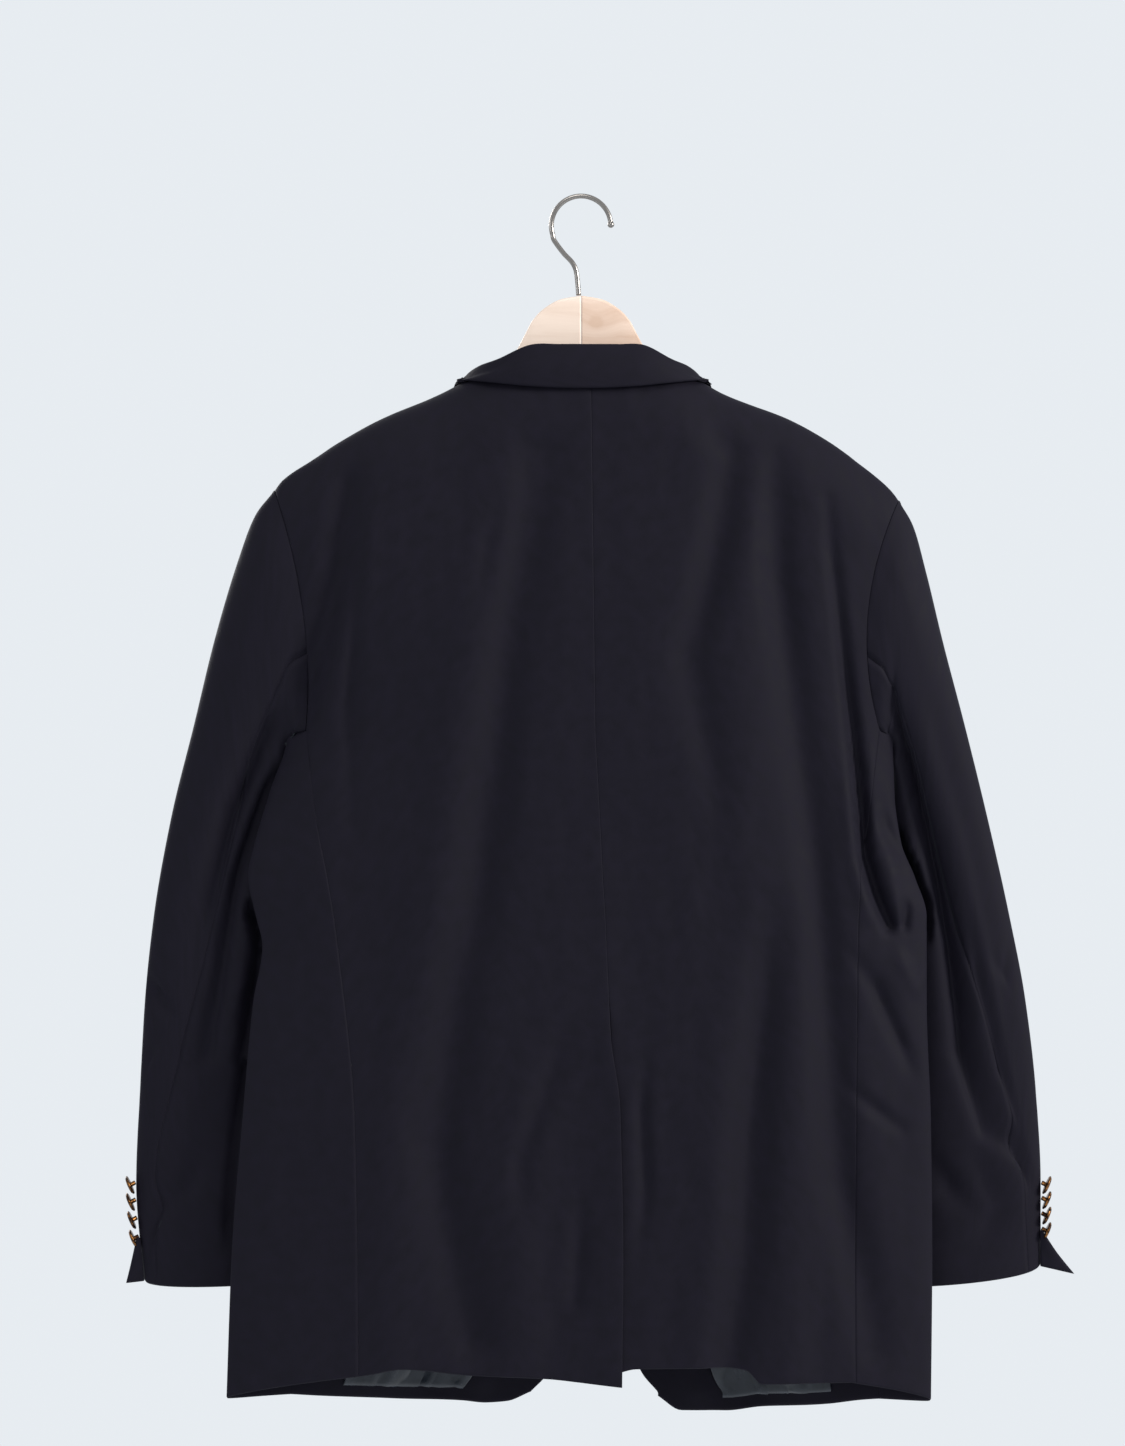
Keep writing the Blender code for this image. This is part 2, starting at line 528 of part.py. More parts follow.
def front_grid(cut, across, armhole_rows, skirt_rows):
    top_x = mix(cut.neck_x, cut.shoulder_x, across)
    top_z = shoulder_z(cut, top_x)
    base_x = mix(front_inner_x(cut, UNDERARM), front_seam_x(cut, UNDERARM), across)
    down = np.asarray(armhole_rows)[:, None]
    inner_z = mix(top_z[0], UNDERARM, down)
    inner_off = front_inner_x(cut, inner_z) - mix(top_x[0], base_x[0], down)
    scoop = cut.sign * cut.front_scoop * 4 * down * (1 - down)
    x = mix(top_x, base_x, down) + inner_off * (1 - across) ** 3 - scoop * across**3
    z = mix(top_z, UNDERARM, down)
    corner_x = front_inner_x(cut, FRONT_EDGE[-1].height)
    hem_x = mix(corner_x, front_seam_x(cut, HEM_LEVEL), across)
    down = np.asarray(skirt_rows)[1:, None]
    skirt = skirt_z(hem_z(cut, "front", hem_x), down)
    skirt_x = mix(front_inner_x(cut, skirt), front_seam_x(cut, skirt), across)
    x, z = np.vstack((x, skirt_x)), np.vstack((z, skirt))
    return joined(x, front_y(cut, x, z), z)


def side_turn(cut, seam_x, z):
    return np.arcsin(np.clip(reach(cut, seam_x, z) ** 2, 0.0, 1.0))


def side_grid(cut, across, skirt_rows):
    """The side panel, wrapped round the body's edge from the back seam to the front seam."""
    down = np.asarray(skirt_rows)[:, None]
    back_hem = hem_z(cut, "back", back_seam_x(cut, HEM_LEVEL))
    front_hem = hem_z(cut, "front", front_seam_x(cut, HEM_LEVEL))
    z = mix(skirt_z(back_hem, down), skirt_z(front_hem, down), across)
    belly = np.sin(math.pi * across)
    z = z - 0.004 * belly * (1 - down) ** 6
    z = z + (SIDE_HEM[cut.name] - mix(back_hem, front_hem, 0.5)) * belly * down**4
    back_turn = side_turn(cut, back_seam_x(cut, z), z)
    front_turn = math.pi - side_turn(cut, front_seam_x(cut, z), z)
    turn = mix(back_turn, front_turn, across)
    x = centre_x(z) + (edge_x(cut, z) - centre_x(z)) * np.sqrt(np.abs(np.sin(turn)))
    y = np.where(turn < math.pi / 2, back_y(cut, x, z), front_y(cut, x, z))
    return joined(x, y, z)


# ---------------------------------------------------------------- sleeves as grids of points

BACK_STATIONS = len(ARMHOLE_ROWS) - 1
SIDE_END = BACK_STATIONS + SIDE_COLUMNS
STATIONS = SIDE_END + BACK_STATIONS
HINDARM = BACK_STATIONS - 2     # the seams' columns round the sleeve
FOREARM = SIDE_END + 1
FOOT_TURN = 152.0               # degrees round the sleeve where the side panel begins


def armhole_point(cut, station):
    """The armhole's points, counted round it from the shoulder point by way of the back."""
    if station <= BACK_STATIONS:
        share = np.interp(station, range(BACK_STATIONS + 1), ARMHOLE_ROWS)
        x, z = armhole_edge(cut, "back", share)
        return joined(x, back_y(cut, x, z), z)
    if station >= SIDE_END:
        share = np.interp(STATIONS - station, range(BACK_STATIONS + 1), ARMHOLE_ROWS)
        x, z = armhole_edge(cut, "front", share)
        return joined(x, front_y(cut, x, z), z)
    return side_grid(cut, np.array([(station - BACK_STATIONS) / SIDE_COLUMNS]), (0.0,))[0, 0]


def station_turn(along, stations):
    """Degrees round the sleeve of each column, 0 at its outer edge and 90 at its back."""
    share = np.interp(stations, range(BACK_STATIONS + 1), ARMHOLE_ROWS)
    drop = np.degrees(np.arccos(1 - share * (1 - math.cos(math.radians(FOOT_TURN)))))
    share = np.interp(STATIONS - stations, range(BACK_STATIONS + 1), ARMHOLE_ROWS)
    rise = 360 - np.degrees(np.arccos(1 - share * (1 - math.cos(math.radians(FOOT_TURN)))))
    under = mix(FOOT_TURN, 360 - FOOT_TURN, (stations - BACK_STATIONS) / SIDE_COLUMNS)
    start = np.where(stations <= BACK_STATIONS, drop, np.where(stations >= SIDE_END, rise, under))
    hind = through((0.0, 0.3, 0.6, 0.85, 1.0), (105.0, 96.0, 74.0, 42.0, 30.0), along)
    fore = through((0.0, 0.4, 1.0), (226.0, 222.0, 218.0), along)
    even = np.interp(stations, (0, HINDARM, FOREARM, STATIONS), (0.0, hind, fore, 360.0))
    return mix(start, even, smooth_step(0.0, SETTLE, along))


def sleeve_ellipse(cut, along, turn):
    rows = SLEEVES[cut.name]
    value = {name: read(rows, name, along, key="along") for name in SleeveRow._fields[1:]}
    outer = np.array([value["outer_x"], value["outer_y"], value["outer_z"]])
    inner = np.array([value["inner_x"], value["inner_y"], value["inner_z"]])
    cosine, sine = np.cos(np.radians(turn)), np.sin(np.radians(turn))
    points = (outer + inner) / 2 + (outer - inner) / 2 * cosine[:, None]
    points[:, 1] += np.where(sine > 0, value["back_depth"], value["front_depth"]) * sine
    points[:, 2] -= CUFF_DROP * sine**2 * smooth_step(0.9, 1.0, along)
    return points


def give_way(cut, points, strength):
    """Presses the sleeve forward where it passes in front of the body's side edge."""
    x, z = points[:, 0], points[:, 2]
    ratio = (x - centre_x(z)) / (edge_x(cut, z) - centre_x(z))
    inside = front_y(cut, x, z) - SLEEVE_CLEAR
    outside = read(BODY, "edge_y", z) - SLEEVE_CLEAR + 0.30 * np.maximum(ratio - 1, 0.0)
    limit = np.where(ratio < 1, inside, outside)
    over = np.maximum(points[:, 1] - limit, 0.0)
    near = np.where(ratio < 1, 1.0, 1 - smooth_step(1.0, 1.0 + EDGE_PASS, ratio))
    below = smooth_step(UNDERARM + 0.004, UNDERARM - 0.020, z)
    points[:, 1] -= over * near * below * strength
    return points


def sleeve_grid(cut, alongs, stations):
    stations = np.asarray(stations, float)
    armhole = np.array([armhole_point(cut, station) for station in stations])
    start = sleeve_ellipse(cut, 0.0, station_turn(0.0, stations))
    rows = []
    for along in alongs:
        ring = sleeve_ellipse(cut, along, station_turn(along, stations))
        keep = max(0.0, 1 - along / SETTLE) ** 2
        ring = ring + (armhole - start) * keep
        centre = sleeve_ellipse(cut, along, np.array([0.0, 180.0])).mean(axis=0)
        dent = fold_depth(SLEEVE_FOLDS[cut.name], along, stations, SLEEVE_STRETCH)
        ring = ring + unit((ring - centre) * (1, 1, 0)) * dent[:, None]
        if along > 0:
            ring = give_way(cut, ring, smooth_step(0.02, 0.10, along))
        else:
            ring[:, 0] += cut.sign * SLEEVE_SET
        rows.append(ring)
    return np.array(rows)

# ---------------------------------------------------------------- walls from grids


def face_normals(grid, side):
    """Outward normals of a grid's cells; side is +1 where columns x rows already points out."""
    across = grid[:-1, 1:] - grid[:-1, :-1] + grid[1:, 1:] - grid[1:, :-1]
    down = grid[1:, :-1] - grid[:-1, :-1] + grid[1:, 1:] - grid[:-1, 1:]
    return side * unit(np.cross(across, down))


def shared_normals(panels):
    """One outward direction for each point of the joined cloth, lengthened at bends so that
    a wall moved along it keeps its thickness. Points that panels share get the same one."""
    sums, faces = {}, {}
    keys = {}
    for name, (grid, side) in panels.items():
        keys[name] = [[tuple(np.round(point, 5)) for point in row] for row in grid]
        normals = face_normals(grid, side)
        for row in range(normals.shape[0]):
            for column in range(normals.shape[1]):
                for corner in ((0, 0), (0, 1), (1, 0), (1, 1)):
                    key = keys[name][row + corner[0]][column + corner[1]]
                    sums[key] = sums.get(key, 0) + normals[row, column]
                    faces.setdefault(key, []).append(normals[row, column])
    result = {}
    for name, rows in keys.items():
        out = np.zeros(panels[name][0].shape)
        for row, line in enumerate(rows):
            for column, key in enumerate(line):
                direction = unit(sums[key])
                lean = np.mean([direction @ face for face in faces[key]])
                out[row, column] = direction / max(lean, 0.62)
        result[name] = out
    return result


def pull_edges(outer, inner, edges, gap):
    """Moves the named edges of both skins into the panel, to leave the gap of a seam."""
    outer, inner = outer.copy(), inner.copy()
    for edge in edges:
        at, by = {
            "top": (np.s_[0], np.s_[1]), "bottom": (np.s_[-1], np.s_[-2]),
            "start": (np.s_[:, 0], np.s_[:, 1]), "end": (np.s_[:, -1], np.s_[:, -2]),
        }[edge]
        shift = unit(outer[by] - outer[at]) * gap
        outer[at] += shift
        inner[at] += shift
    return outer, inner


def cloth_material(name, colour, roughness, metallic=0.0):
    material = bpy.data.materials.new(name)
    material.use_nodes = True
    shader = material.node_tree.nodes["Principled BSDF"]
    shader.inputs["Base Color"].default_value = (*colour, 1.0)
    shader.inputs["Roughness"].default_value = roughness
    shader.inputs["Metallic"].default_value = metallic
    return material


def solid(name, points, faces, material):
    mesh = bpy.data.meshes.new(name)
    mesh.from_pydata([tuple(point) for point in points], [], faces)
    mesh.validate()
    mesh.materials.append(material)
    mesh.shade_smooth()
    mesh.set_sharp_from_angle(angle=math.radians(35))
    piece = bpy.data.objects.new(name, mesh)
    bpy.context.collection.objects.link(piece)
    return piece


def wall(name, outer, inner, side, material):
    """A closed wall between two grids of the same size."""
    rows, columns = outer.shape[:2]
    points = np.concatenate((outer.reshape(-1, 3), inner.reshape(-1, 3)))
    under = rows * columns
    faces = []
    for row in range(rows - 1):
        for column in range(columns - 1):
            a = row * columns + column
            b, c, d = a + 1, a + columns + 1, a + columns
            for one, two, three in ((a, b, c), (a, c, d)):
                faces.append((one, three, two) if side < 0 else (one, two, three))
                faces.append(
                    (one + under, two + under, three + under) if side < 0
                    else (one + under, three + under, two + under)
                )
    border = [column for column in range(columns)]
    border += [row * columns + columns - 1 for row in range(1, rows)]
    border += [(rows - 1) * columns + column for column in range(columns - 2, -1, -1)]
    border += [row * columns for row in range(rows - 2, 0, -1)]
    for here, there in zip(border, border[1:] + border[:1]):
        for one, two, three in ((here, here + under, there), (there, here + under, there + under)):
            faces.append((one, three, two) if side < 0 else (one, two, three))
    return solid(name, points, faces, material)


def between(grid, row, column):
    """The point of a grid at fractional rows and columns."""
    row = np.clip(row, 0, grid.shape[0] - 1.000001)
    column = np.clip(column, 0, grid.shape[1] - 1.000001)
    r, c = np.floor(row).astype(int), np.floor(column).astype(int)
    u, v = (column - c)[..., None], (row - r)[..., None]
    top = mix(grid[r, c], grid[r, c + 1], u)
    bottom = mix(grid[r + 1, c], grid[r + 1, c + 1], u)
    return mix(top, bottom, v)


def band(first, second, count):
    """Faces between two rings of points, given the number of each one's first point."""
    return [
        (first + k, first + (k + 1) % count, second + (k + 1) % count, second + k)
        for k in range(count)
    ]


def caps(rings, count):
    last = (rings - 1) * count
    return [tuple(range(count - 1, -1, -1)), tuple(range(last, last + count))]


def rest_on(points, names, lift):
    """Moves points off the outer skins of the named panels until each stands this far off."""
    seats, directions = [], []
    for name in names:
        outer = skins[name][0]
        row, column = np.meshgrid(
            np.arange(0, outer.shape[0] - 0.99, 0.25), np.arange(0, outer.shape[1] - 0.99, 0.25),
            indexing="ij",
        )
        seats.append(between(outer, row, column).reshape(-1, 3))
        directions.append(unit(between(out_of[name], row, column)).reshape(-1, 3))
    seats, directions = np.concatenate(seats), np.concatenate(directions)
    points = np.array(points)
    flat = points.reshape(-1, 3)
    for _ in range(3):
        for k, point in enumerate(flat):
            near = np.argmin(((seats - point) ** 2).sum(axis=1))
            height = (point - seats[near]) @ directions[near]
            if height < lift:
                flat[k] = point + directions[near] * (lift - height)
    return points


# ---------------------------------------------------------------- the model

for leftover in list(bpy.data.objects):
    bpy.data.objects.remove(leftover, do_unlink=True)

NAVY = cloth_material("navy_wool", (0.014, 0.013, 0.022), 0.85)
LINING = cloth_material("lining_satin", (0.030, 0.040, 0.043), 0.35)
WOOD = cloth_material("pale_wood", (0.80, 0.66, 0.50), 0.55)
NICKEL = cloth_material("brushed_nickel", (0.52, 0.49, 0.46), 0.30, 1.0)
GOLD = cloth_material("antique_gold", (0.42, 0.27, 0.10), 0.32, 1.0)

# Body and sleeves: one continuous surface, cut into its panels

panels = {}
for cut in SIDES:
    outward = cut.sign
    panels["back_" + cut.name] = (
        back_grid(cut, back_columns(cut), ARMHOLE_ROWS, SKIRT_ROWS), outward,
    )
    panels["side_" + cut.name] = (
        side_grid(cut, np.linspace(0, 1, SIDE_COLUMNS + 1), SKIRT_ROWS), outward,
    )
    panels["front_" + cut.name] = (
        front_grid(cut, np.linspace(0, 1, SHOULDER_COLUMNS + 1), ARMHOLE_ROWS, SKIRT_ROWS), -outward,
    )
    top_stations = np.arange(FOREARM, STATIONS + HINDARM + 1) % STATIONS
    under_stations = np.arange(HINDARM, FOREARM + 1)
    panels["top_sleeve_" + cut.name] = (sleeve_grid(cut, SLEEVE_ROWS, top_stations), -outward)
    panels["under_sleeve_" + cut.name] = (sleeve_grid(cut, SLEEVE_ROWS, under_stations), -outward)

SEAMS = {
    "back": ("top", "start", "end"), "side": ("top", "start", "end"),
    "front": ("top", "end"), "top_sleeve": ("start", "end"), "under_sleeve": ("start", "end"),
}
PULL = {"back": SEAM_PULL, "side": SEAM_PULL, "front": SEAM_PULL,
        "top_sleeve": SLEEVE_PULL, "under_sleeve": SLEEVE_PULL}
out_of = shared_normals(panels)
skins = {}
for name, (grid, side) in panels.items():
    kind = name.rsplit("_", 1)[0]
    outer, inner = pull_edges(grid, grid - out_of[name] * CLOTH, SEAMS[kind], PULL[kind])
    skins[name] = (outer, inner)
    wall(name, outer, inner, side, NAVY)


# Collar: a stand that rises from the neck seam, and a leaf turned down over it


def neck_station(cut, station):
    """Point of the neck's edge on the outer skin, counted from the centre back round."""
    back, front = skins["back_" + cut.name][0], skins["front_" + cut.name][0]
    if station <= NECK_COLUMNS:
        return between(back, np.array(0.0), np.array(float(station)))
    return between(front, np.array(float(station - NECK_COLUMNS)), np.array(0.0))


def outward_round_neck(cut, station):
    """Level direction away from the neck's opening."""
    before = neck_station(cut, max(station - 1, 0))
    after = neck_station(cut, min(station + 1, NECK_COLUMNS))
    run = (after - before) * (1, 1, 0)
    return unit(np.array([-run[1], run[0], 0.0]) * cut.sign)


def both_sides(build, stations):
    """Sections from the left side's last station, round the centre back, to the right's."""
    left = [build(LEFT, station) for station in reversed(stations)]
    right = [build(RIGHT, station) for station in stations]
    middle = (build(LEFT, 0) + build(RIGHT, 0)) / 2
    return np.array(left + [middle] + right)


def stand_section(cut, station):
    away = outward_round_neck(cut, station)
    rise = read(STAND, "rise", station, key="station")
    foot = neck_station(cut, station) + np.array([0.0, 0.0, SEAM_GAP])
    outside = foot + np.array([1.0, 0.5, 0.0])[:, None] * np.array([0.0, 0.0, rise])
    return np.concatenate((outside, outside - away * THIN_CLOTH))


stand = both_sides(stand_section, range(1, NECK_COLUMNS + 1))
wall("collar_stand", stand[:, :3], stand[:, 3:], 1, NAVY)


def turned_section(fold, up, across, away, base, edge, shares):
    """A leaf of cloth turned over an edge: from behind it, over it, and out to its own edge."""
    over = fold + up * (LAY_GAP + THIN_CLOTH)
    front = fold + across * ROLL_IN + away * (LAY_GAP + THIN_CLOTH + ROLL_OUT)
    points = [over - away * base, over + away * (LAY_GAP + THIN_CLOTH * 0.8), front]
    for share in shares:
        points.append(mix(front, edge, share) + away * COLLAR_SWELL * math.sin(math.pi * share))
    return points


def leaf_edge(cut, station):
    scale = abs(cut.neck_x - NECK_MIDDLE) / NECK_HALF
    out = read(LEAF_EDGE, "out_x", station, key="station") * scale
    y = read(LEAF_EDGE, "out_y", station, key="station")
    return np.array([NECK_MIDDLE + cut.sign * out, y, read(LEAF_EDGE, "height", station, key="station")])


def leaf_section(cut, station):
    fold, edge = neck_station(cut, station), leaf_edge(cut, station)
    upward = np.array([0.0, 0.0, 1.0])
    if station <= NECK_COLUMNS:
        away = outward_round_neck(cut, station)
        fold = fold + upward * (SEAM_GAP + read(STAND, "rise", station, key="station"))
        across = unit((edge - fold) * (0.35, 0.35, 1.0))
        return turned_section(fold, upward, across, away, THIN_CLOTH, edge, (0.34, 0.67, 1.0))
    past = min(1.0, (station - NECK_COLUMNS) / 2)
    away = unit(mix(outward_round_neck(cut, NECK_COLUMNS), np.array([0.0, -1.0, 0.0]), past))
    across = unit((edge - fold) * (1, 0, 1))
    shares = (0.34, 0.67, 1.0)
    if station == GORGE:
        point = np.array([NECK_MIDDLE + cut.sign * LAPEL_POINT[0], fold[1], LAPEL_POINT[1]])
        across = unit(point - fold)
        shares = (0.45, 1.0)
    up = unit(mix(upward, -across, past))
    end = fold + across * GORGE_END if station == GORGE else edge
    points = turned_section(fold, up, across, away, CLOTH, end, shares)
    return points + [edge] if station == GORGE else points


GORGE = NECK_COLUMNS + GORGE_STATION
LEAF_STATIONS = (1, 2, 3, 3.5, 4, 4.5, 5, 5.5, 6, 7, GORGE)
leaf = both_sides(lambda cut, station: np.array(leaf_section(cut, station)), LEAF_STATIONS)


def lapel_grid(cut):
    """Rows run down the roll line from the gorge to the break."""
    outer = skins["front_" + cut.name][0]
    rows = []
    first = GORGE_STATION
    heights = outer[first:, 0, 2]
    last = first + int(np.sum(heights > BREAK))
    point = np.array([NECK_MIDDLE + cut.sign * LAPEL_POINT[0], LAPEL_POINT[1]])
    foot_fold = np.array([front_inner_x(cut, BREAK), BREAK])
    foot = foot_fold + np.array([cut.sign * LAPEL_FOOT_OUT, -0.002])
    for row in range(first, last + 1):
        fold = outer[row, 0] if row < last else np.array([
            foot_fold[0], float(front_y(cut, foot_fold[0], BREAK)), BREAK,
        ])
        share = (outer[first, 0, 2] - fold[2]) / (outer[first, 0, 2] - BREAK)
        out = mix(point, foot, share)
        out = out + cut.sign * LAPEL_BELLY * math.sin(math.pi * share) * np.array([1.0, 0.0])
        if row == first:
            gap = np.array([0.0, 0.0, -GORGE_GAP])
            fold = fold + gap
            out = out + gap[[0, 2]]
        roll = mix(1.0, BREAK_ROLL, share)
        lift = LAY_GAP + THIN_CLOTH + LAPEL_REST
        edge = np.array([out[0], float(front_y(cut, out[0], out[1])) - lift, out[1]])
        away = np.array([0.0, -1.0, 0.0])
        across = unit((edge - fold) * (1, 0, 1))
        back = fold - across * (LAY_GAP + THIN_CLOTH) - away * CLOTH
        top = fold - across * (LAY_GAP + THIN_CLOTH) + away * (LAY_GAP + THIN_CLOTH * 0.8)
        width = np.linalg.norm((edge - fold)[[0, 2]])
        near = fold + across * min(ROLL_IN, width * 0.4)
        points = [back, top]
        for part in (0.0, 0.34, 0.67, 1.0):
            at = mix(near, edge, part)
            stand_off = lift + (ROLL_OUT + LAPEL_SWELL * math.sin(math.pi * part)) * roll * (1 - part)
            at[1] = float(front_y(cut, at[0], at[2])) - stand_off
            points.append(at)
        rows.append(points)
    return np.array(rows)


def own_wall(name, grid, side, thickness, material, over=(), free=0):
    """A wall inside a grid; past its first free columns it is kept off the panels it lies over."""
    inner = grid - shared_normals({name: (grid, side)})[name] * thickness
    if over:
        moved = rest_on(inner[:, free:], over, LAY_GAP + ARCH)
        grid = grid.copy()
        grid[:, free:] += moved - inner[:, free:]
        inner[:, free:] = moved
    skins[name] = (grid, inner)
    return wall(name, grid, inner, side, material)


own_wall("collar_leaf", leaf, 1, THIN_CLOTH, NAVY,
         ("back_left", "back_right", "front_left", "front_right"), 1)
for cut in SIDES:
    own_wall("lapel_" + cut.name, lapel_grid(cut), -cut.sign, THIN_CLOTH, NAVY)

# What lies on a panel is made from its points, moved out


def patch(name, panel, rows, columns, thickness, material, inward=False, slant=0.0):
    """A piece on a panel's outer skin, or on its inner one, at fractional rows and columns."""
    outer, inner = skins[panel]
    row, column = np.meshgrid(np.asarray(rows, float), np.asarray(columns, float), indexing="ij")
    row = row - slant * (column - columns[0]) / (columns[-1] - columns[0])
    skin = between(inner if inward else outer, row, column)
    away = unit(between(out_of[panel], row, column)) * (-1 if inward else 1)
    near, far = skin + away * LAY_GAP, skin + away * (LAY_GAP + thickness)
    side = panels[panel][1] * (-1 if inward else 1)
    return wall(name, far, near, side, material)


for cut in SIDES:
    front = "front_" + cut.name
    patch("pocket_flap_" + cut.name, front, FLAP_ROWS, FLAP_COLUMNS, THIN_CLOTH, NAVY)
    patch("lining_" + cut.name, front, LINING_ROWS, LINING_COLUMNS, LINING_CLOTH, LINING, inward=True)
patch("breast_welt", "front_left", WELT_ROWS, WELT_COLUMNS, THIN_CLOTH, NAVY, slant=WELT_SLANT)
underlap_rows = range(UNDERLAP_FROM, len(ARMHOLE_ROWS) + len(SKIRT_ROWS) - 1)
patch("vent_underlap", "back_left", underlap_rows, UNDERLAP_COLUMNS, CLOTH, NAVY, inward=True)

# Buttons: a domed disc on a shank, turned as one piece


def button(name, seat, off, tilt, size):
    """A domed disc turned with its shank. off points off the cloth; tilt tips it up, in degrees."""
    rim = size.shank_length + size.thickness
    profile = (                 # radius and distance off the cloth
        (size.shank_radius, BUTTON_GAP), (size.shank_radius, size.shank_length),
        (size.radius * 0.92, size.shank_length), (size.radius, size.shank_length + 0.0007),
        (size.radius * 0.96, rim - 0.0009), (size.radius * 0.62, rim - 0.0002),
        (size.radius * 0.25, rim),
    )
    level = unit(np.cross((0.0, 0.0, 1.0), off))
    tipped = unit(off + np.array([0.0, 0.0, math.tan(math.radians(tilt))]))
    upward = np.cross(tipped, level)
    points, faces = [], []
    for radius, distance in profile:
        centre = seat + (off if distance <= BUTTON_GAP else tipped) * distance
        for k in range(BUTTON_SIDES):
            angle = 2 * math.pi * k / BUTTON_SIDES
            points.append(centre + (level * math.cos(angle) + upward * math.sin(angle)) * radius)
    for ring in range(len(profile) - 1):
        faces += band(ring * BUTTON_SIDES, (ring + 1) * BUTTON_SIDES, BUTTON_SIDES)
    faces += caps(len(profile), BUTTON_SIDES)
    return solid(name, points, faces, GOLD)


for number, height in enumerate(FRONT_BUTTON_HEIGHTS, 1):
    x = float(centre_x(height))
    seat = np.array([x, float(front_y(LEFT, x, height)), height])
    button("front_button_%d" % number, seat, np.array([0.0, -1.0, 0.0]), 0.0, FRONT_BUTTON)

for cut in SIDES:
    for number, along in enumerate(CUFF_BUTTON_ALONG, 1):
        off = np.array([cut.sign, 0.0, 0.0])
        seat = sleeve_ellipse(cut, along, np.array([CUFF_BUTTON_TURN]))[0] + off * CUFF_BUTTON_OFF
        button("cuff_button_%s_%d" % (cut.name, number), seat, off, CUFF_BUTTON_TILT, CUFF_BUTTON)

# Cuff vents: the top sleeve's corner turns out below the buttons

for cut in SIDES:
    column = cut.name + "_out"
    outer_rows, inner_rows = [], []
    for row in CUFF_FLAP:
        root = sleeve_ellipse(cut, row.along, np.array([CUFF_FLAP_TURN]))[0]
        root = root + np.array([cut.sign * CUFF_FLAP_OFF, 0.0, 0.0])
        tip = root + np.array([cut.sign * getattr(row, column), 0.002, -getattr(row, column) * 0.1])
        near = np.array([root, mix(root, tip, 0.5), tip])
        outer_rows.append(near + (0.0, CLOTH / 2, 0.0))
        inner_rows.append(near - (0.0, CLOTH / 2, 0.0))
    wall("cuff_flap_" + cut.name, np.array(outer_rows), np.array(inner_rows), cut.sign, NAVY)

# Hanger: two boards glued end to end, their edges eased


def board_section(x, top, bottom):
    b = HANGER_BEVEL
    y = HANGER_HALF
    return [
        (x, y, top - b), (x, y - b, top), (x, b - y, top), (x, -y, top - b),
        (x, -y, bottom + b), (x, b - y, bottom), (x, y - b, bottom), (x, y, bottom + b),
    ]


for cut in SIDES:
    sections = []
    for row in ARM:
        out = max(row.out, SEAM_GAP / 2)
        sections.append(board_section(HANGER_MIDDLE + cut.sign * out, row.top, row.top - row.depth))
    for out, depth in zip(ARM_STATIONS, ARM_DEPTHS):
        x = HANGER_MIDDLE + cut.sign * out
        top = float(shoulder_z(cut, x)) - ARM_SIT - ARM_FALL * smooth_step(0.13, 0.21, out)
        sections.append(board_section(x, top, top - depth))
    if cut is RIGHT:
        sections.reverse()
    corners = len(sections[0])
    faces = caps(len(sections), corners)
    for station in range(len(sections) - 1):
        faces += band(station * corners, (station + 1) * corners, corners)
    solid("hanger_" + cut.name, [point for section in sections for point in section], faces, WOOD)

# Hook: one bent wire with a ball at its end


def swept(name, path, radii, sides, material):
    path = np.asarray(path, float)
    points, faces = [], []
    for k, centre in enumerate(path):
        run = unit(path[min(k + 1, len(path) - 1)] - path[max(k - 1, 0)])
        over = np.array([0.0, 1.0, 0.0])
        beside = np.cross(run, over)
        for step in range(sides):
            angle = 2 * math.pi * step / sides
            points.append(centre + (over * math.cos(angle) + beside * math.sin(angle)) * radii[k])
    for ring in range(len(path) - 1):
        faces += band(ring * sides, (ring + 1) * sides, sides)
    faces += caps(len(path), sides)
    return solid(name, points, faces, material)


hook_path = []
for angle in np.radians(np.linspace(HOOK_START, HOOK_END, 24)):
    hook_path.append((
        HOOK_CENTRE[0] - HOOK_RADIUS * math.cos(angle), 0.0,
        HOOK_CENTRE[1] + HOOK_RADIUS * math.sin(angle),
    ))
neck = np.array([hook_path[-1][::2]] + [tuple(point) for point in HOOK_NECK])
for share in np.linspace(0.0, 1.0, 13)[1:]:
    at = share * (len(neck) - 1)
    hook_path.append((
        float(through(range(len(neck)), neck[:, 0], at)), 0.0,
        float(through(range(len(neck)), neck[:, 1], at)),
    ))
hook_radii = [WIRE_RADIUS] * len(hook_path)
ball = np.array(hook_path[0]) + (np.array(hook_path[0]) - np.array(hook_path[1])) * 0.2
cap = unit(np.array(hook_path[0]) - np.array(hook_path[1]))
ball_rows = ((1.9, 0.25), (1.6, 0.75), (1.0, 1.0), (0.4, 0.85))
hook_path = [tuple(ball + cap * HOOK_BALL * back) for back, _ in ball_rows] + hook_path
hook_radii = [HOOK_BALL * wide for _, wide in ball_rows] + hook_radii
swept("hook", hook_path, hook_radii, WIRE_SIDES, NICKEL)
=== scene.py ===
# A men's single-breasted blazer of fine navy worsted, hanging on a flat maple hanger with a bent
# wire hook. It is cut in panels that are seamed, pressed and lined; the collar and lapels are
# turned over, the cuffs and pockets are set on, and its weight hangs from the hanger's two arms.

import math
from collections import namedtuple

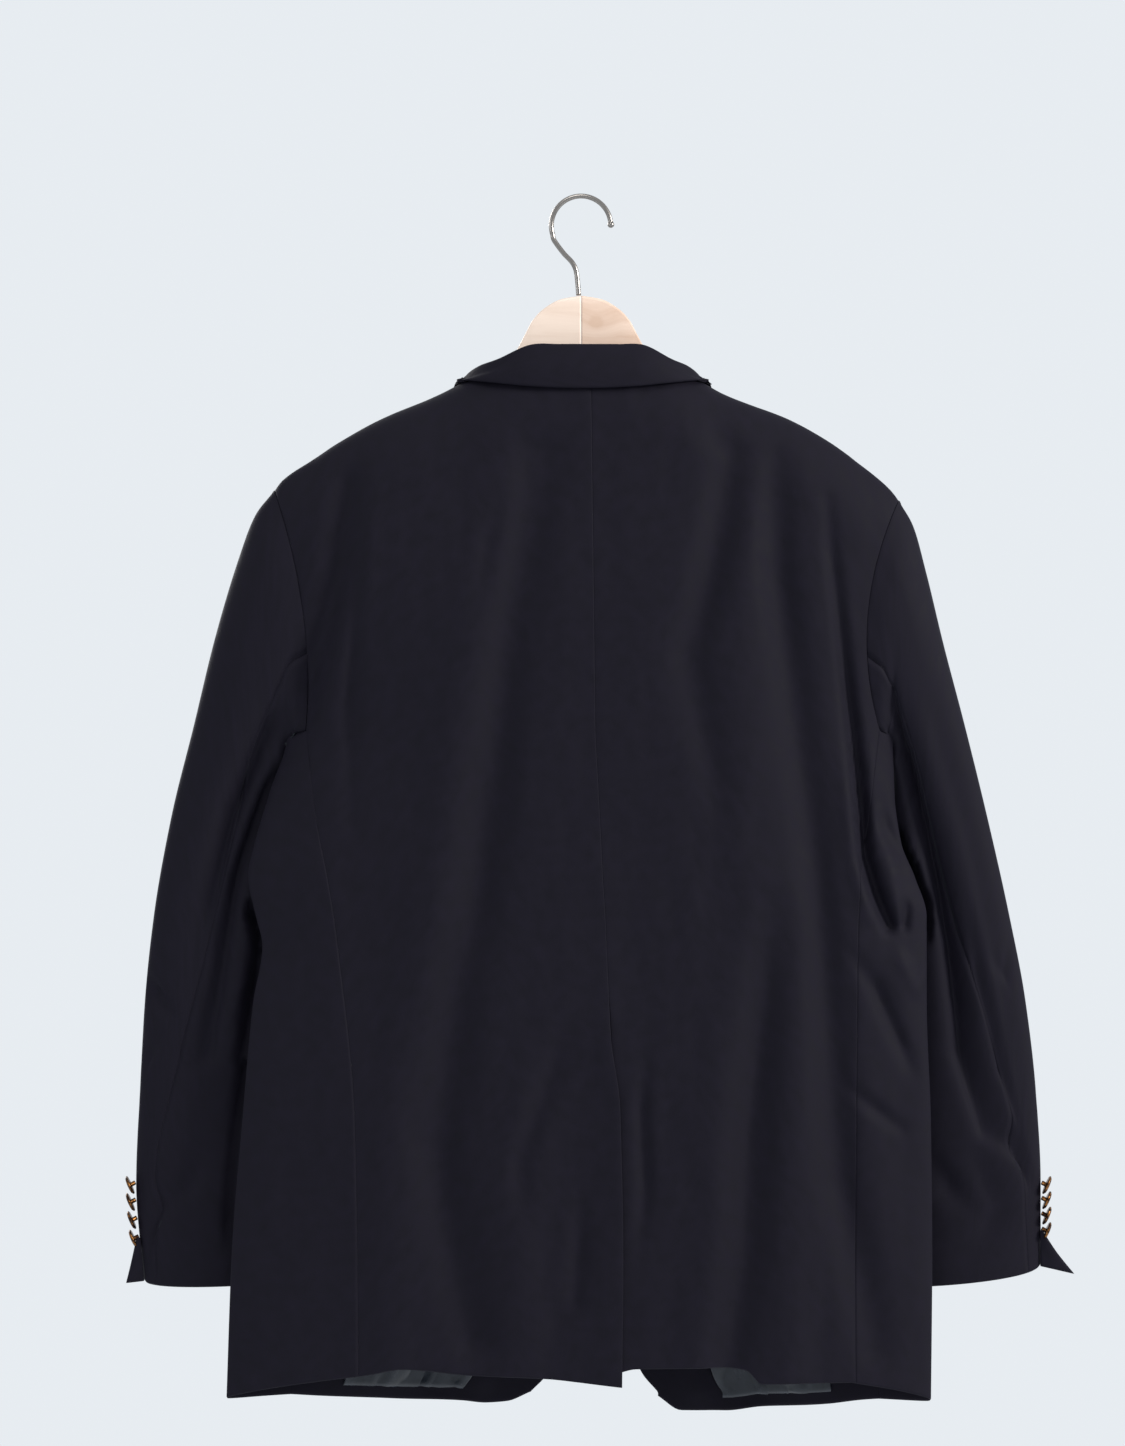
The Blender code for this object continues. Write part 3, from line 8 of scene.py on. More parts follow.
import bpy
import numpy as np
from mathutils.kdtree import KDTree
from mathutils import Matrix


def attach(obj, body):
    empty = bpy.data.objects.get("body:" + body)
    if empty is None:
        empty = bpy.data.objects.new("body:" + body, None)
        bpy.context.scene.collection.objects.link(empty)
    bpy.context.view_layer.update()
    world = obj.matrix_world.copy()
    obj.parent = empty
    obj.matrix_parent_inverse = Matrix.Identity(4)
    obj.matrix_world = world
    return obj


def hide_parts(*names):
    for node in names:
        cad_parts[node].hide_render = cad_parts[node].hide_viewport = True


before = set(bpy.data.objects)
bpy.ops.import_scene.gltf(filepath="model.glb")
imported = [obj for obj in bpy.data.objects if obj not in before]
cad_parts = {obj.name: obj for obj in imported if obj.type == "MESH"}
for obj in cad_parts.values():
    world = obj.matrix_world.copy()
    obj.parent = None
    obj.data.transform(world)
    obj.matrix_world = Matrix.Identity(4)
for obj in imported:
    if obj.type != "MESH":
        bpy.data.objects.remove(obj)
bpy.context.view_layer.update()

# ---- the back
# Two halves of fine navy worsted over a light canvas, seamed down the centre, with a vent at the
# bottom where the wearer's left half laps over the right. The cloth falls from the shoulder
# blades in long drapes; inside, the hem is faced with the same cloth and lined above.

CLOTH = 0.0018
UNDERARM = -0.404  # height where the armhole meets the side panel
HEM_LEVEL = -0.897  # height that the hem lines are measured from
NECK_BACK = -0.140  # height of the back neck seam at the centre
BACK_ROLL = 0.060  # how far below the shoulder line the back reaches its depth
EDGE_ROLL_BACK = 0.42  # share of the back's depth that rounds off at the side edge
FACING = 0.030  # depth of the self cloth turned up inside the hems

BodyRow = namedtuple(
    "BodyRow",
    "height centre left_edge right_edge edge_y back_y front_y hollow_from hollow_to",
)
BODY = [BodyRow(*row) for row in (
    (-0.100, -0.0080, 0.262, -0.268, -0.002, 0.030, -0.030, 0.82, 1.10),
    (-0.221, -0.0090, 0.262, -0.272, -0.002, 0.035, -0.038, 0.82, 1.10),
    (-0.317, -0.0095, 0.242, -0.254, -0.003, 0.039, -0.047, 0.80, 1.06),
    (-0.404, -0.0115, 0.222, -0.238, -0.003, 0.039, -0.051, 0.70, 0.99),
    (-0.452, -0.0140, 0.236, -0.239, 0.001, 0.038, -0.051, 0.60, 0.92),
    (-0.490, -0.0160, 0.247, -0.244, 0.004, 0.037, -0.050, 0.52, 0.87),
    (-0.515, -0.0172, 0.252, -0.254, 0.005, 0.037, -0.050, 0.47, 0.84),
    (-0.545, -0.0190, 0.246, -0.263, 0.007, 0.037, -0.049, 0.42, 0.81),
    (-0.568, -0.0200, 0.241, -0.263, 0.008, 0.037, -0.049, 0.39, 0.79),
    (-0.611, -0.0220, 0.248, -0.263, 0.009, 0.037, -0.048, 0.34, 0.77),
    (-0.700, -0.0260, 0.256, -0.266, 0.011, 0.038, -0.046, 0.30, 0.76),
    (-0.800, -0.0280, 0.264, -0.267, 0.012, 0.039, -0.045, 0.29, 0.78),
    (-0.911, -0.0270, 0.268, -0.266, 0.013, 0.041, -0.044, 0.30, 0.80),
)]

ShoulderRow = namedtuple("ShoulderRow", "height left_x right_x")
SHOULDER = [ShoulderRow(*row) for row in (
    (-0.1010, 0.000, 0.000), (-0.1190, 0.050, 0.054), (-0.1380, 0.086, 0.090),
    (-0.1490, 0.107, 0.110), (-0.1680, 0.152, 0.159), (-0.1840, 0.181, 0.188),
    (-0.1990, 0.204, 0.209), (-0.2140, 0.226, 0.228), (-0.2215, 0.232, 0.236),
    (-0.2290, 0.238, 0.242),
)]

Cut = namedtuple(
    "Cut",
    "name sign neck_x shoulder_x shoulder_z armhole_foot back_scoop front_scoop",
)
LEFT = Cut("left", 1.0, 0.084, 0.232, -0.2215, 0.208, 0.010, 0.024)
RIGHT = Cut("right", -1.0, -0.088, -0.242, -0.2290, -0.2275, 0.017, 0.028)
SIDES = (LEFT, RIGHT)

SeamRow = namedtuple("SeamRow", "height left_x right_x")
BACK_SEAM = [SeamRow(*row) for row in (
    (-0.404, 0.208, -0.2275), (-0.475, 0.199, -0.2180), (-0.515, 0.191, -0.2120),
    (-0.560, 0.184, -0.2100), (-0.700, 0.170, -0.2085), (-0.800, 0.168, -0.2080),
    (-0.911, 0.167, -0.2080),
)]

HemPoint = namedtuple("HemPoint", "x height")
HEMS = {
    ("back", "left"): (
        (-0.027, -0.899), (0.024, -0.893), (0.087, -0.890),
        (0.134, -0.886), (0.157, -0.890), (0.199, -0.898),
        (0.228, -0.908), (0.268, -0.909),
    ),
    ("back", "right"): (
        (-0.027, -0.889), (-0.042, -0.8855), (-0.107, -0.885),
        (-0.125, -0.887), (-0.137, -0.897), (-0.205, -0.8965),
        (-0.220, -0.904), (-0.242, -0.906), (-0.265, -0.911),
    ),
    ("front", "left"): (
        (0.038, -0.912), (0.056, -0.919), (0.072, -0.920),
        (0.090, -0.918), (0.128, -0.915), (0.157, -0.912),
        (0.199, -0.909), (0.230, -0.907),
    ),
    ("front", "right"): (
        (-0.060, -0.915), (-0.078, -0.926), (-0.112, -0.926),
        (-0.139, -0.922), (-0.189, -0.916), (-0.215, -0.912),
        (-0.230, -0.911),
    ),
}
HEMS = {panel: [HemPoint(*row) for row in rows] for panel, rows in HEMS.items()}

Fold = namedtuple("Fold", "depth width path")
BACK_FOLDS = (  # depth out from the cloth, half width, and (x, height, strength)s
    Fold(-0.0084, 0.0119, (  # drags from the left shoulder blade to the underarm
        (0.173, -0.200, 0.2), (0.175, -0.215, 0.8), (0.183, -0.285, 1.0), (0.196, -0.335, 1.0),
        (0.205, -0.367, 1.0), (0.215, -0.398, 0.7))),
    Fold(0.0024, 0.0100, (
        (0.156, -0.225, 0.3), (0.164, -0.290, 1.0), (0.182, -0.350, 1.0), (0.196, -0.400, 0.6))),
    Fold(-0.0035, 0.0059, (
        (0.164, -0.241, 0.1), (0.172, -0.346, 1.0), (0.174, -0.384, 1.0), (0.174, -0.475, 0.2))),
    Fold(-0.0084, 0.0179, (  # the long drape left of the centre
        (0.028, -0.197, 0.5), (0.045, -0.279, 0.9), (0.059, -0.385, 1.0), (0.077, -0.520, 1.0),
        (0.091, -0.600, 1.0), (0.106, -0.718, 1.0), (0.101, -0.765, 1.0), (0.092, -0.817, 1.0),
        (0.082, -0.862, 0.9))),
    Fold(-0.0032, 0.0072, (
        (0.062, -0.226, 0.2), (0.070, -0.264, 1.0), (0.078, -0.314, 0.2))),
    Fold(0.0038, 0.0220, (
        (0.059, -0.230, 0.6), (0.092, -0.385, 1.0), (0.119, -0.560, 1.0), (0.142, -0.700, 1.0),
        (0.142, -0.880, 1.0))),
    Fold(0.0030, 0.0190, (
        (0.016, -0.620, 0.2), (0.034, -0.690, 1.0), (0.046, -0.760, 1.0), (0.040, -0.880, 1.0))),
    Fold(-0.0048, 0.0089, (  # short soft break right of the vent's top
        (0.012, -0.625, 0.1), (0.024, -0.670, 0.9), (0.037, -0.704, 1.0), (0.045, -0.730, 1.0),
        (0.045, -0.775, 0.2))),
    Fold(-0.0038, 0.0072, (
        (0.001, -0.742, 0.1), (0.001, -0.797, 1.0), (0.004, -0.837, 1.0), (0.025, -0.855, 0.3))),
    Fold(-0.0038, 0.0055, (
        (-0.049, -0.648, 0.1), (-0.047, -0.690, 1.0), (-0.049, -0.745, 1.0),
        (-0.045, -0.800, 0.1))),
    Fold(-0.0085, 0.0140, (  # drapes right of the centre
        (-0.099, -0.165, 0.2), (-0.115, -0.197, 0.8), (-0.107, -0.250, 1.0),
        (-0.095, -0.303, 1.0), (-0.083, -0.345, 0.8), (-0.091, -0.400, 0.6),
        (-0.104, -0.461, 0.2))),
    Fold(0.0022, 0.0200, (
        (-0.120, -0.250, 0.6), (-0.128, -0.400, 1.0), (-0.120, -0.560, 1.0),
        (-0.104, -0.700, 1.0), (-0.093, -0.870, 1.0))),
    Fold(-0.0081, 0.0140, (  # the long one down the right side
        (-0.148, -0.200, 0.6), (-0.149, -0.281, 1.0), (-0.160, -0.366, 1.0),
        (-0.172, -0.457, 1.0), (-0.184, -0.560, 1.0), (-0.190, -0.660, 1.0),
        (-0.197, -0.745, 1.0), (-0.212, -0.815, 0.9), (-0.221, -0.870, 0.5))),
    Fold(-0.0135, 0.0052, (  # under the right shoulder blade, hooked at its foot
        (-0.187, -0.229, 0.1), (-0.190, -0.268, 0.25), (-0.199, -0.341, 0.45),
        (-0.208, -0.414, 0.8), (-0.213, -0.462, 1.0), (-0.216, -0.500, 1.0),
        (-0.225, -0.528, 1.0), (-0.235, -0.552, 0.8))),
    Fold(-0.0086, 0.0149, (
        (-0.146, -0.540, 0.3), (-0.141, -0.591, 0.9), (-0.136, -0.644, 1.0),
        (-0.129, -0.704, 1.0), (-0.125, -0.800, 1.0), (-0.112, -0.884, 1.0))),
    Fold(0.0034, 0.0170, (
        (-0.161, -0.600, 0.4), (-0.159, -0.700, 1.0), (-0.161, -0.800, 1.0),
        (-0.159, -0.890, 1.0))),
    Fold(-0.0048, 0.0059, (
        (-0.208, -0.576, 0.3), (-0.224, -0.600, 1.0), (-0.242, -0.640, 1.0),
        (-0.253, -0.664, 0.2))),
    Fold(-0.0045, 0.0055, (
        (-0.203, -0.674, 0.3), (-0.223, -0.690, 1.0), (-0.242, -0.705, 0.4))),
    Fold(0.0026, 0.0120, (
        (-0.223, -0.560, 0.3), (-0.245, -0.600, 1.0), (-0.255, -0.640, 0.4))),
    Fold(0.0036, 0.0065, (
        (-0.200, -0.420, 0.2), (-0.204, -0.470, 1.0), (-0.209, -0.510, 1.0),
        (-0.219, -0.545, 0.7))),
    Fold(-0.0060, 0.0040, (
        (-0.242, -0.556, 0.2), (-0.246, -0.553, 1.0), (-0.247, -0.540, 0.9),
        (-0.245, -0.530, 0.1))),
    Fold(0.0050, 0.0085, (
        (-0.229, -0.470, 0.2), (-0.234, -0.500, 1.0), (-0.240, -0.530, 0.8),
        (-0.245, -0.560, 0.1))),
    Fold(-0.0065, 0.0060, (
        (-0.229, -0.462, 0.2), (-0.233, -0.478, 1.0), (-0.240, -0.492, 0.8),
        (-0.248, -0.505, 0.3))),
    Fold(0.0034, 0.0060, (
        (-0.238, -0.566, 0.1), (-0.247, -0.583, 0.9), (-0.256, -0.600, 1.0),
        (-0.262, -0.585, 0.2))),
)
# How far the cloth stirs between its folds: height, lengths across and down in metres, and seed
STIRS = ((0.0011, 0.034, 0.150, 3), (0.0005, 0.016, 0.055, 5), (0.00022, 0.007, 0.018, 8))


def through(stations, values, at):
    """A smooth curve through a table's values that never overshoots them."""
    stations, values = np.asarray(stations, float), np.asarray(values, float)
    order = np.argsort(stations)
    stations, values = stations[order], values[order]
    step = np.diff(stations)
    slope = np.diff(values) / step
    grade = np.concatenate(([slope[0]], np.zeros(len(step) - 1), [slope[-1]]))
    before, after = slope[:-1], slope[1:]
    same_way = before * after > 0
    grade[1:-1][same_way] = (2 * before * after)[same_way] / (before + after)[same_way]
    at = np.clip(np.asarray(at, float), stations[0], stations[-1])
    cell = np.clip(np.searchsorted(stations, at, side="right") - 1, 0, len(step) - 1)
    part = (at - stations[cell]) / step[cell]
    return (
        (1 + 2 * part) * (1 - part) ** 2 * values[cell]
        + part * (1 - part) ** 2 * step[cell] * grade[cell]
        + part**2 * (3 - 2 * part) * values[cell + 1]
        + part**2 * (part - 1) * step[cell] * grade[cell + 1]
    )


def read(rows, column, at, key="height"):
    return through([getattr(row, key) for row in rows], [getattr(row, column) for row in rows], at)


def smooth_step(start, end, at):
    part = np.clip((at - start) / (end - start), 0.0, 1.0)
    return part * part * (3 - 2 * part)


def mix(first, second, share):
    return first + (second - first) * share


def unit(vectors):
    return vectors / np.maximum(np.linalg.norm(vectors, axis=-1, keepdims=True), 1e-12)


def fold_depth(folds, across, down, stretch=1.0):
    """Height of a set of folds at points of the cloth, given by two coordinates on it."""
    total = np.zeros(np.broadcast(across, down).shape)
    across = across * stretch
    for fold in folds:
        path = np.array(fold.path) * (stretch, 1.0, 1.0)
        nearest, strength = np.full(total.shape, np.inf), np.zeros(total.shape)
        for start, end in zip(path[:-1], path[1:]):
            run = (end - start)[:2]
            share = ((across - start[0]) * run[0] + (down - start[1]) * run[1]) / (run @ run)
            share = np.clip(share, 0.0, 1.0)
            away = np.hypot(across - start[0] - share * run[0], down - start[1] - share * run[1])
            closer = away < nearest
            nearest = np.where(closer, away, nearest)
            strength = np.where(closer, mix(start[2], end[2], share), strength)
        total += fold.depth * strength * np.exp(-((nearest / fold.width) ** 2))
    return total


def stir(across, down, length_across, length_down, seed):
    """Smooth unevenness of about -1 to 1, the same on every run."""
    heights = np.random.default_rng(seed).uniform(-1, 1, (97, 97))
    u, v = np.asarray(across) / length_across + 40.3, np.asarray(down) / length_down + 60.7
    u, v = np.broadcast_arrays(u, v)
    i, j = np.floor(u).astype(int), np.floor(v).astype(int)
    s, t = smooth_step(0, 1, u - i), smooth_step(0, 1, v - j)
    corner = [heights[(i + a) % 97, (j + b) % 97] for a in (0, 1) for b in (0, 1)]
    return mix(mix(corner[0], corner[1], t), mix(corner[2], corner[3], t), s)


def unevenness(x, z):
    total = 0.0
    for height, across, down, seed in STIRS:
        total = total + height * stir(x, z, across, down, seed)
    return total


def centre_x(z):
    return read(BODY, "centre", z)


def edge_x(cut, z):
    return read(BODY, cut.name + "_edge", z)


def shoulder_z(cut, x):
    return read(SHOULDER, "height", np.abs(x), key=cut.name + "_x")


def reach(cut, x, z):
    """Share of the way from the centre line to the body's side edge."""
    return np.clip((x - centre_x(z)) / (edge_x(cut, z) - centre_x(z)), 0.0, 1.0)


def rounded(depth_below, roll):
    """0 on the shoulder line, rising like a quarter circle to 1 a roll's height below it."""
    return np.sqrt(np.maximum(0.0, 1 - (1 - np.clip(depth_below / roll, 0.0, 1.0)) ** 2))


def back_y(cut, x, z):
    q = reach(cut, x, z)
    edge, full = read(BODY, "edge_y", z), read(BODY, "back_y", z)
    round_off = np.sqrt(np.maximum(0.0, 1 - q**4))
    depth = edge + (full - edge) * (EDGE_ROLL_BACK * round_off + (1 - EDGE_ROLL_BACK) * (1 - q**3))
    rise = rounded(shoulder_z(cut, x) - z, BACK_ROLL)
    relief = fold_depth(BACK_FOLDS, x, z) + unevenness(x, z)
    return depth * rise + relief * np.clip(1.8 * round_off, 0.0, 1.0) * rise**2


def back_seam_x(cut, z):
    return read(BACK_SEAM, cut.name + "_x", z)


def hem_z(cut, face, x):
    points = HEMS[(face, cut.name)]
    return through([point.x for point in points], [point.height for point in points], x)


def skirt_z(hem, share):
    """Height of a row of the skirt; the hem's own line shows only in the last rows."""
    return mix(UNDERARM, HEM_LEVEL, share) + (hem - HEM_LEVEL) * share**4


def joined(x, y, z):
    return np.stack(np.broadcast_arrays(x, y, z), axis=-1)


def back_grid(cut, across, armhole_rows, skirt_rows):
    top_centre = centre_x(NECK_BACK)
    top_x = mix(top_centre, cut.shoulder_x, across)
    neck_share = (cut.neck_x - top_centre) / (cut.shoulder_x - top_centre)
    neck_top = mix(
        NECK_BACK, shoulder_z(cut, cut.neck_x), smooth_step(0.5, 1.0, across / neck_share))
    top_z = np.where(across < neck_share - 1e-6, neck_top, shoulder_z(cut, top_x))
    base_x = mix(centre_x(UNDERARM), cut.armhole_foot, across)
    down = np.asarray(armhole_rows)[:, None]
    x = mix(top_x, base_x, down) - cut.sign * cut.back_scoop * 4 * down * (1 - down) * across**3
    z = mix(top_z, UNDERARM, down)
    hem_x = mix(centre_x(HEM_LEVEL), back_seam_x(cut, HEM_LEVEL), across)
    down = np.asarray(skirt_rows)[1:, None]
    skirt = skirt_z(hem_z(cut, "back", hem_x), down)
    skirt_x = mix(centre_x(skirt), back_seam_x(cut, skirt), across)
    x, z = np.vstack((x, skirt_x)), np.vstack((z, skirt))
    return joined(x, back_y(cut, x, z), z)


def lengths(grid, axis):
    """Distance along each row (axis 1) or down each column (axis 0) of a grid of points."""
    steps = np.linalg.norm(np.diff(grid, axis=axis), axis=2)
    return np.concatenate((np.zeros_like(np.take(steps, [0], axis)), np.cumsum(steps, axis)), axis)


def outward(grid, side):
    return side * unit(np.cross(np.gradient(grid, axis=1), np.gradient(grid, axis=0)))


def from_edge(grid, edge):
    """How far each point lies from a named edge, and how far along that edge."""
    axis = 0 if edge in ("top", "bottom") else 1
    run = lengths(grid, axis)
    if edge in ("bottom", "end"):
        run = np.take(run, [-1], axis) - run
    return run, lengths(grid, 1 - axis)


CLOSE = (0.0009, 0.0020, 0.0036, 0.0058)  # distances from an edge where its rounding needs points
CLOSE_END = 0.0075  # beyond this the even spacing goes on


def fitted(count, width, start=True):
    """Even shares of a width, with closer ones where a seam or an edge needs them."""
    close, open_from = np.array(CLOSE) / width, CLOSE_END / width
    shares = np.linspace(0, 1, count)
    if start:
        shares = np.append(shares[(shares == 0) | (shares > open_from)], close)
    shares = np.append(shares[(shares == 1) | (shares < 1 - open_from)], 1 - close)
    return np.unique(shares)


def feed(node, inputs):
    """Joins sockets to a node's inputs or sets their values; i0, i1 are inputs by number."""
    for key, value in inputs.items():
        socket = node.inputs[int(key[1:]) if key[1:].isdigit() else key]
        if isinstance(value, bpy.types.NodeSocket):
            node.id_data.links.new(value, socket)
        else:
            socket.default_value = value


def node_adder(tree):
    """A function that adds a node to a tree, with its settings and its inputs."""
    def add(kind, settings=None, **inputs):
        node = tree.nodes.new("ShaderNode" + kind)
        for key, value in (settings or {}).items():
            setattr(node, key, value)
        feed(node, inputs)
        return node

    return add


def nodes_of(name):
    """A new material, its shader, and a function that adds a node to it."""
    made = bpy.data.materials.new(name)
    made.use_nodes = True
    return made, made.node_tree.nodes["Principled BSDF"], node_adder(made.node_tree)


def effect_group(name, inputs, outputs):
    """An empty shader group: its tree, what comes in, how to add nodes, and how to end it."""
    tree = bpy.data.node_groups.new(name, "ShaderNodeTree")
    for way, sockets in (("INPUT", inputs), ("OUTPUT", outputs)):
        for socket, kind in sockets.items():
            tree.interface.new_socket(socket, in_out=way, socket_type="NodeSocket" + kind)
    coming, going = tree.nodes.new("NodeGroupInput"), tree.nodes.new("NodeGroupOutput")

    def put_out(*values):
        for socket, value in zip(going.inputs, values):
            tree.links.new(value, socket)

    return tree, coming.outputs, node_adder(tree), put_out


WEAVE, given, add, put_out = effect_group(
    "woven cloth",
    {"Laid": "Vector", "Threads": "Float", "Mottles": "Float", "Dark": "Color", "Light": "Color",
     "Roughness": "Float"},
    {"Colour": "Color", "Roughness": "Float", "Weave": "Float", "Mottle": "Float"})
thread = add(
    "VectorMath", {"operation": "SCALE"}, i0=given["Laid"], Scale=given["Threads"]).outputs[0]
warp = add("VectorMath", {"operation": "MULTIPLY"}, i0=thread, i1=(1.0, 0.55, 1.0)).outputs[0]
weft = add("VectorMath", {"operation": "MULTIPLY"}, i0=thread, i1=(0.5, 1.0, 1.0)).outputs[0]
warp = add("TexNoise", i0=warp, Scale=1.0, Detail=2.0, Roughness=0.6).outputs[0]
weft = add("TexNoise", i0=weft, Scale=1.0, Detail=2.0, Roughness=0.6).outputs[0]
woven = add("Math", {"operation": "ADD"}, i0=warp, i1=weft).outputs[0]
woven = add("Math", {"operation": "MULTIPLY"}, i0=woven, i1=0.5).outputs[0]
mottle = add(
    "TexNoise", i0=given["Laid"], Scale=given["Mottles"], Detail=3.0, Roughness=0.55).outputs[0]
both = add("Math", {"operation": "MULTIPLY_ADD"}, i0=woven, i1=0.55, i2=mottle).outputs[0]
shade = add("MapRange", i0=both, i1=0.55, i2=1.0, i3=0.0, i4=1.0).outputs[0]
colour = add(
    "Mix", {"data_type": "RGBA"}, i0=shade, i6=given["Dark"], i7=given["Light"]).outputs[2]
dull = add("MapRange", i0=mottle, i1=0.3, i2=0.7, i3=-0.05, i4=0.06).outputs[0]
dull = add("Math", {"operation": "ADD"}, i0=dull, i1=given["Roughness"]).outputs[0]
put_out(colour, dull, woven, mottle)


def cloth_material(name, dark, light, roughness, sheen, weave, grain, shine=0.10):
    """Woven cloth: weave and grain are the sizes in metres of its threads and of its mottling."""
    made, shader, add = nodes_of(name)
    laid = add("UVMap", {"uv_map": "cloth"}).outputs["UV"]
    cloth = add("Group", {"node_tree": WEAVE}, Laid=laid, Threads=1 / weave, Mottles=1 / grain,
                Dark=(*dark, 1), Light=(*light, 1), Roughness=roughness).outputs
    bump = add("Bump", Height=cloth["Weave"], Strength=0.55, Distance=weave * 0.35).outputs[0]
    bump = add("Bump", Height=cloth["Mottle"], Strength=0.20, Distance=grain * 0.01,
               Normal=bump).outputs[0]
    feed(shader, {
        "Base Color": cloth["Colour"], "Roughness": cloth["Roughness"], "Normal": bump,
        "Sheen Weight": sheen, "Sheen Roughness": 0.45, "Sheen Tint": (0.62, 0.64, 0.85, 1),
        "Specular IOR Level": shine})
    return made


NAVY = cloth_material(
    "navy wool", (0.0034, 0.0028, 0.0062), (0.0058, 0.0048, 0.0098), 0.72, 0.020, 0.00045, 0.011)
LINING = cloth_material(
    "lining satin", (0.012, 0.017, 0.019), (0.022, 0.029, 0.031), 0.36, 0.02, 0.00022, 0.016)

SEAM_DIP = {"top": 0.00032, "bottom": 0.0004, "start": 0.00016, "end": 0.00014}
DIP_WIDTH = 0.0014  # half width of the dip along a seam
PUCKER = 0.00022  # height of the small puckers beside it
PUCKER_REACH = 0.0065  # how far from the seam they are highest
PUCKER_LENGTH = 0.011
EDGE_ROUND = 0.0016  # how far in a turned edge is rounded


def in_place(name, mesh):
    """Puts a finished mesh in the scene in the stead of its solid."""
    piece = bpy.data.objects.new(mesh.name, mesh)
    bpy.context.collection.objects.link(piece)
    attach(piece, "root")
    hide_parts(name)
    return piece


def sew(name, grid, side, material, seams=(), turned=(), thickness=CLOTH, inside=None,
        slot="navy_wool", rests_on=(), seed=11, out=None):
    """Makes a grid of the cloth's outer face into a piece of cloth.

    Sewn edges dip into their seam and pucker along it; turned edges are rounded over.
    inside marks the faces of the inner side that show the lining."""
    out = outward(grid, side) if out is None else out
    flat = tuple(lengths(grid, axis).max() for axis in (1, 0))
    face, thick = grid.copy(), np.full(grid.shape[:2], thickness)
    for edge in seams:
        off, along = from_edge(grid, edge)
        near = off / PUCKER_REACH
        wave = stir(along, along * 0 + seed, PUCKER_LENGTH, 1.0, seed)
        rise = PUCKER * wave * near * np.exp(1 - near)
        rise = rise - SEAM_DIP[edge] * np.exp(-((off / DIP_WIDTH) ** 2))
        face = face + out * rise[..., None]
    for edge in turned:
        off, _ = from_edge(grid, edge)
        round_off = rounded(off, EDGE_ROUND)
        face = face - out * (0.45 * thickness * (1 - round_off))[..., None]
        thick = thick * (0.12 + 0.88 * round_off)
    inner = face - out * thick[..., None]
    rows, columns = grid.shape[:2]
    numbers = np.arange(rows * columns).reshape(rows, columns)
    a, b = numbers[:-1, :-1].ravel(), numbers[:-1, 1:].ravel()
    c, d = numbers[1:, 1:].ravel(), numbers[1:, :-1].ravel()
    border = np.concatenate(
        (numbers[0], numbers[1:, -1], numbers[-1, -2::-1], numbers[-2:0:-1, 0]))
    following, under = np.roll(border, -1), rows * columns
    quads = [
        np.stack((a, b, c, d), 1), np.stack((a, d, c, b), 1) + under,
        np.stack((border, border + under, following + under, following), 1),
    ]
    faces = np.concatenate(quads)
    if side < 0:
        faces = faces[:, ::-1]
    mesh = bpy.data.meshes.new("sewn_" + name)
    points = np.concatenate((face.reshape(-1, 3), inner.reshape(-1, 3)))
    mesh.from_pydata(points, [], faces.tolist())
    mesh.materials.append(material)
    if inside is not None:
        mesh.materials.append(LINING)
        marks = np.zeros(len(faces), np.int32)
        marks[len(a):2 * len(a)] = inside[:-1, :-1].ravel()
        mesh.polygons.foreach_set("material_index", marks)
    smooth = np.arange(len(faces)) < 2 * len(a)  # the cut edges keep their own facing
    mesh.polygons.foreach_set("use_smooth", smooth)
    corners = np.zeros(len(mesh.loops), np.int32)
    mesh.loops.foreach_get("vertex_index", corners)
    laid = np.stack((lengths(grid, 1).ravel(), -lengths(grid, 0).ravel()), 1)
    mesh.uv_layers.new(name="cloth").data.foreach_set("uv", laid[corners % under].ravel())
    in_place(name, mesh)


ARMHOLE_FINE = np.concatenate((0.075 * (np.arange(14) / 14) ** 2, np.linspace(0.075, 1, 74)))
SKIRT_FINE = fitted(148, 0.493, start=False)
VENT_TOP = -0.628
VENT_EDGE = 0.016  # how far from the vent's edge the upper half lifts
VENT_LIFT = 0.0032
VENT_LAP = 0.0045  # how far the left half's edge passes over the right's

for cut in SIDES:
    grid = back_grid(cut, fitted(74, 0.24), ARMHOLE_FINE, SKIRT_FINE)
    if cut is LEFT:  # the left half's edge lies over the right's below the vent's top
        edge = np.exp(-((lengths(grid, 1) / VENT_EDGE) ** 2))
        lift = smooth_step(VENT_TOP + 0.025, VENT_TOP - 0.010, grid[..., 2])
        over = smooth_step(VENT_TOP - 0.005, VENT_TOP - 0.060, grid[..., 2])
        grid[..., 1] += VENT_LIFT * edge * lift
        grid[..., 0] -= VENT_LAP * edge * over
    above_hem = from_edge(grid, "bottom")[0]
    sew("back_" + cut.name, grid, cut.sign, NAVY, ("top", "start", "end"), ("bottom",),
        inside=above_hem > FACING, rests_on=("hanger_" + cut.name,))

# ---- fronts
# Two fronts of the same worsted, canvassed, the left lapped over the right and buttoned, with
# rounded cutaway hems. The front edges and hems are faced with self cloth, the rest is lined.

FRONT_ROLL = 0.055
EDGE_DEPTH_FRONT = 0.008  # depth of the front's rounding at the side edge
FRONT_SEAM = 0.905  # the front's side seam, as a share of the way to the body's edge
FRONT_SEAM_SWING = 0.070  # how much further forward it lies at the hem
OVERLAP_LIFT = 0.0068  # the left front lies this far out over the right one
OVERLAP_FLAT = 0.030
OVERLAP_RAMP = 0.065
FRONT_FACING = 0.075  # the front edge is lined with the coat's own cloth this far in

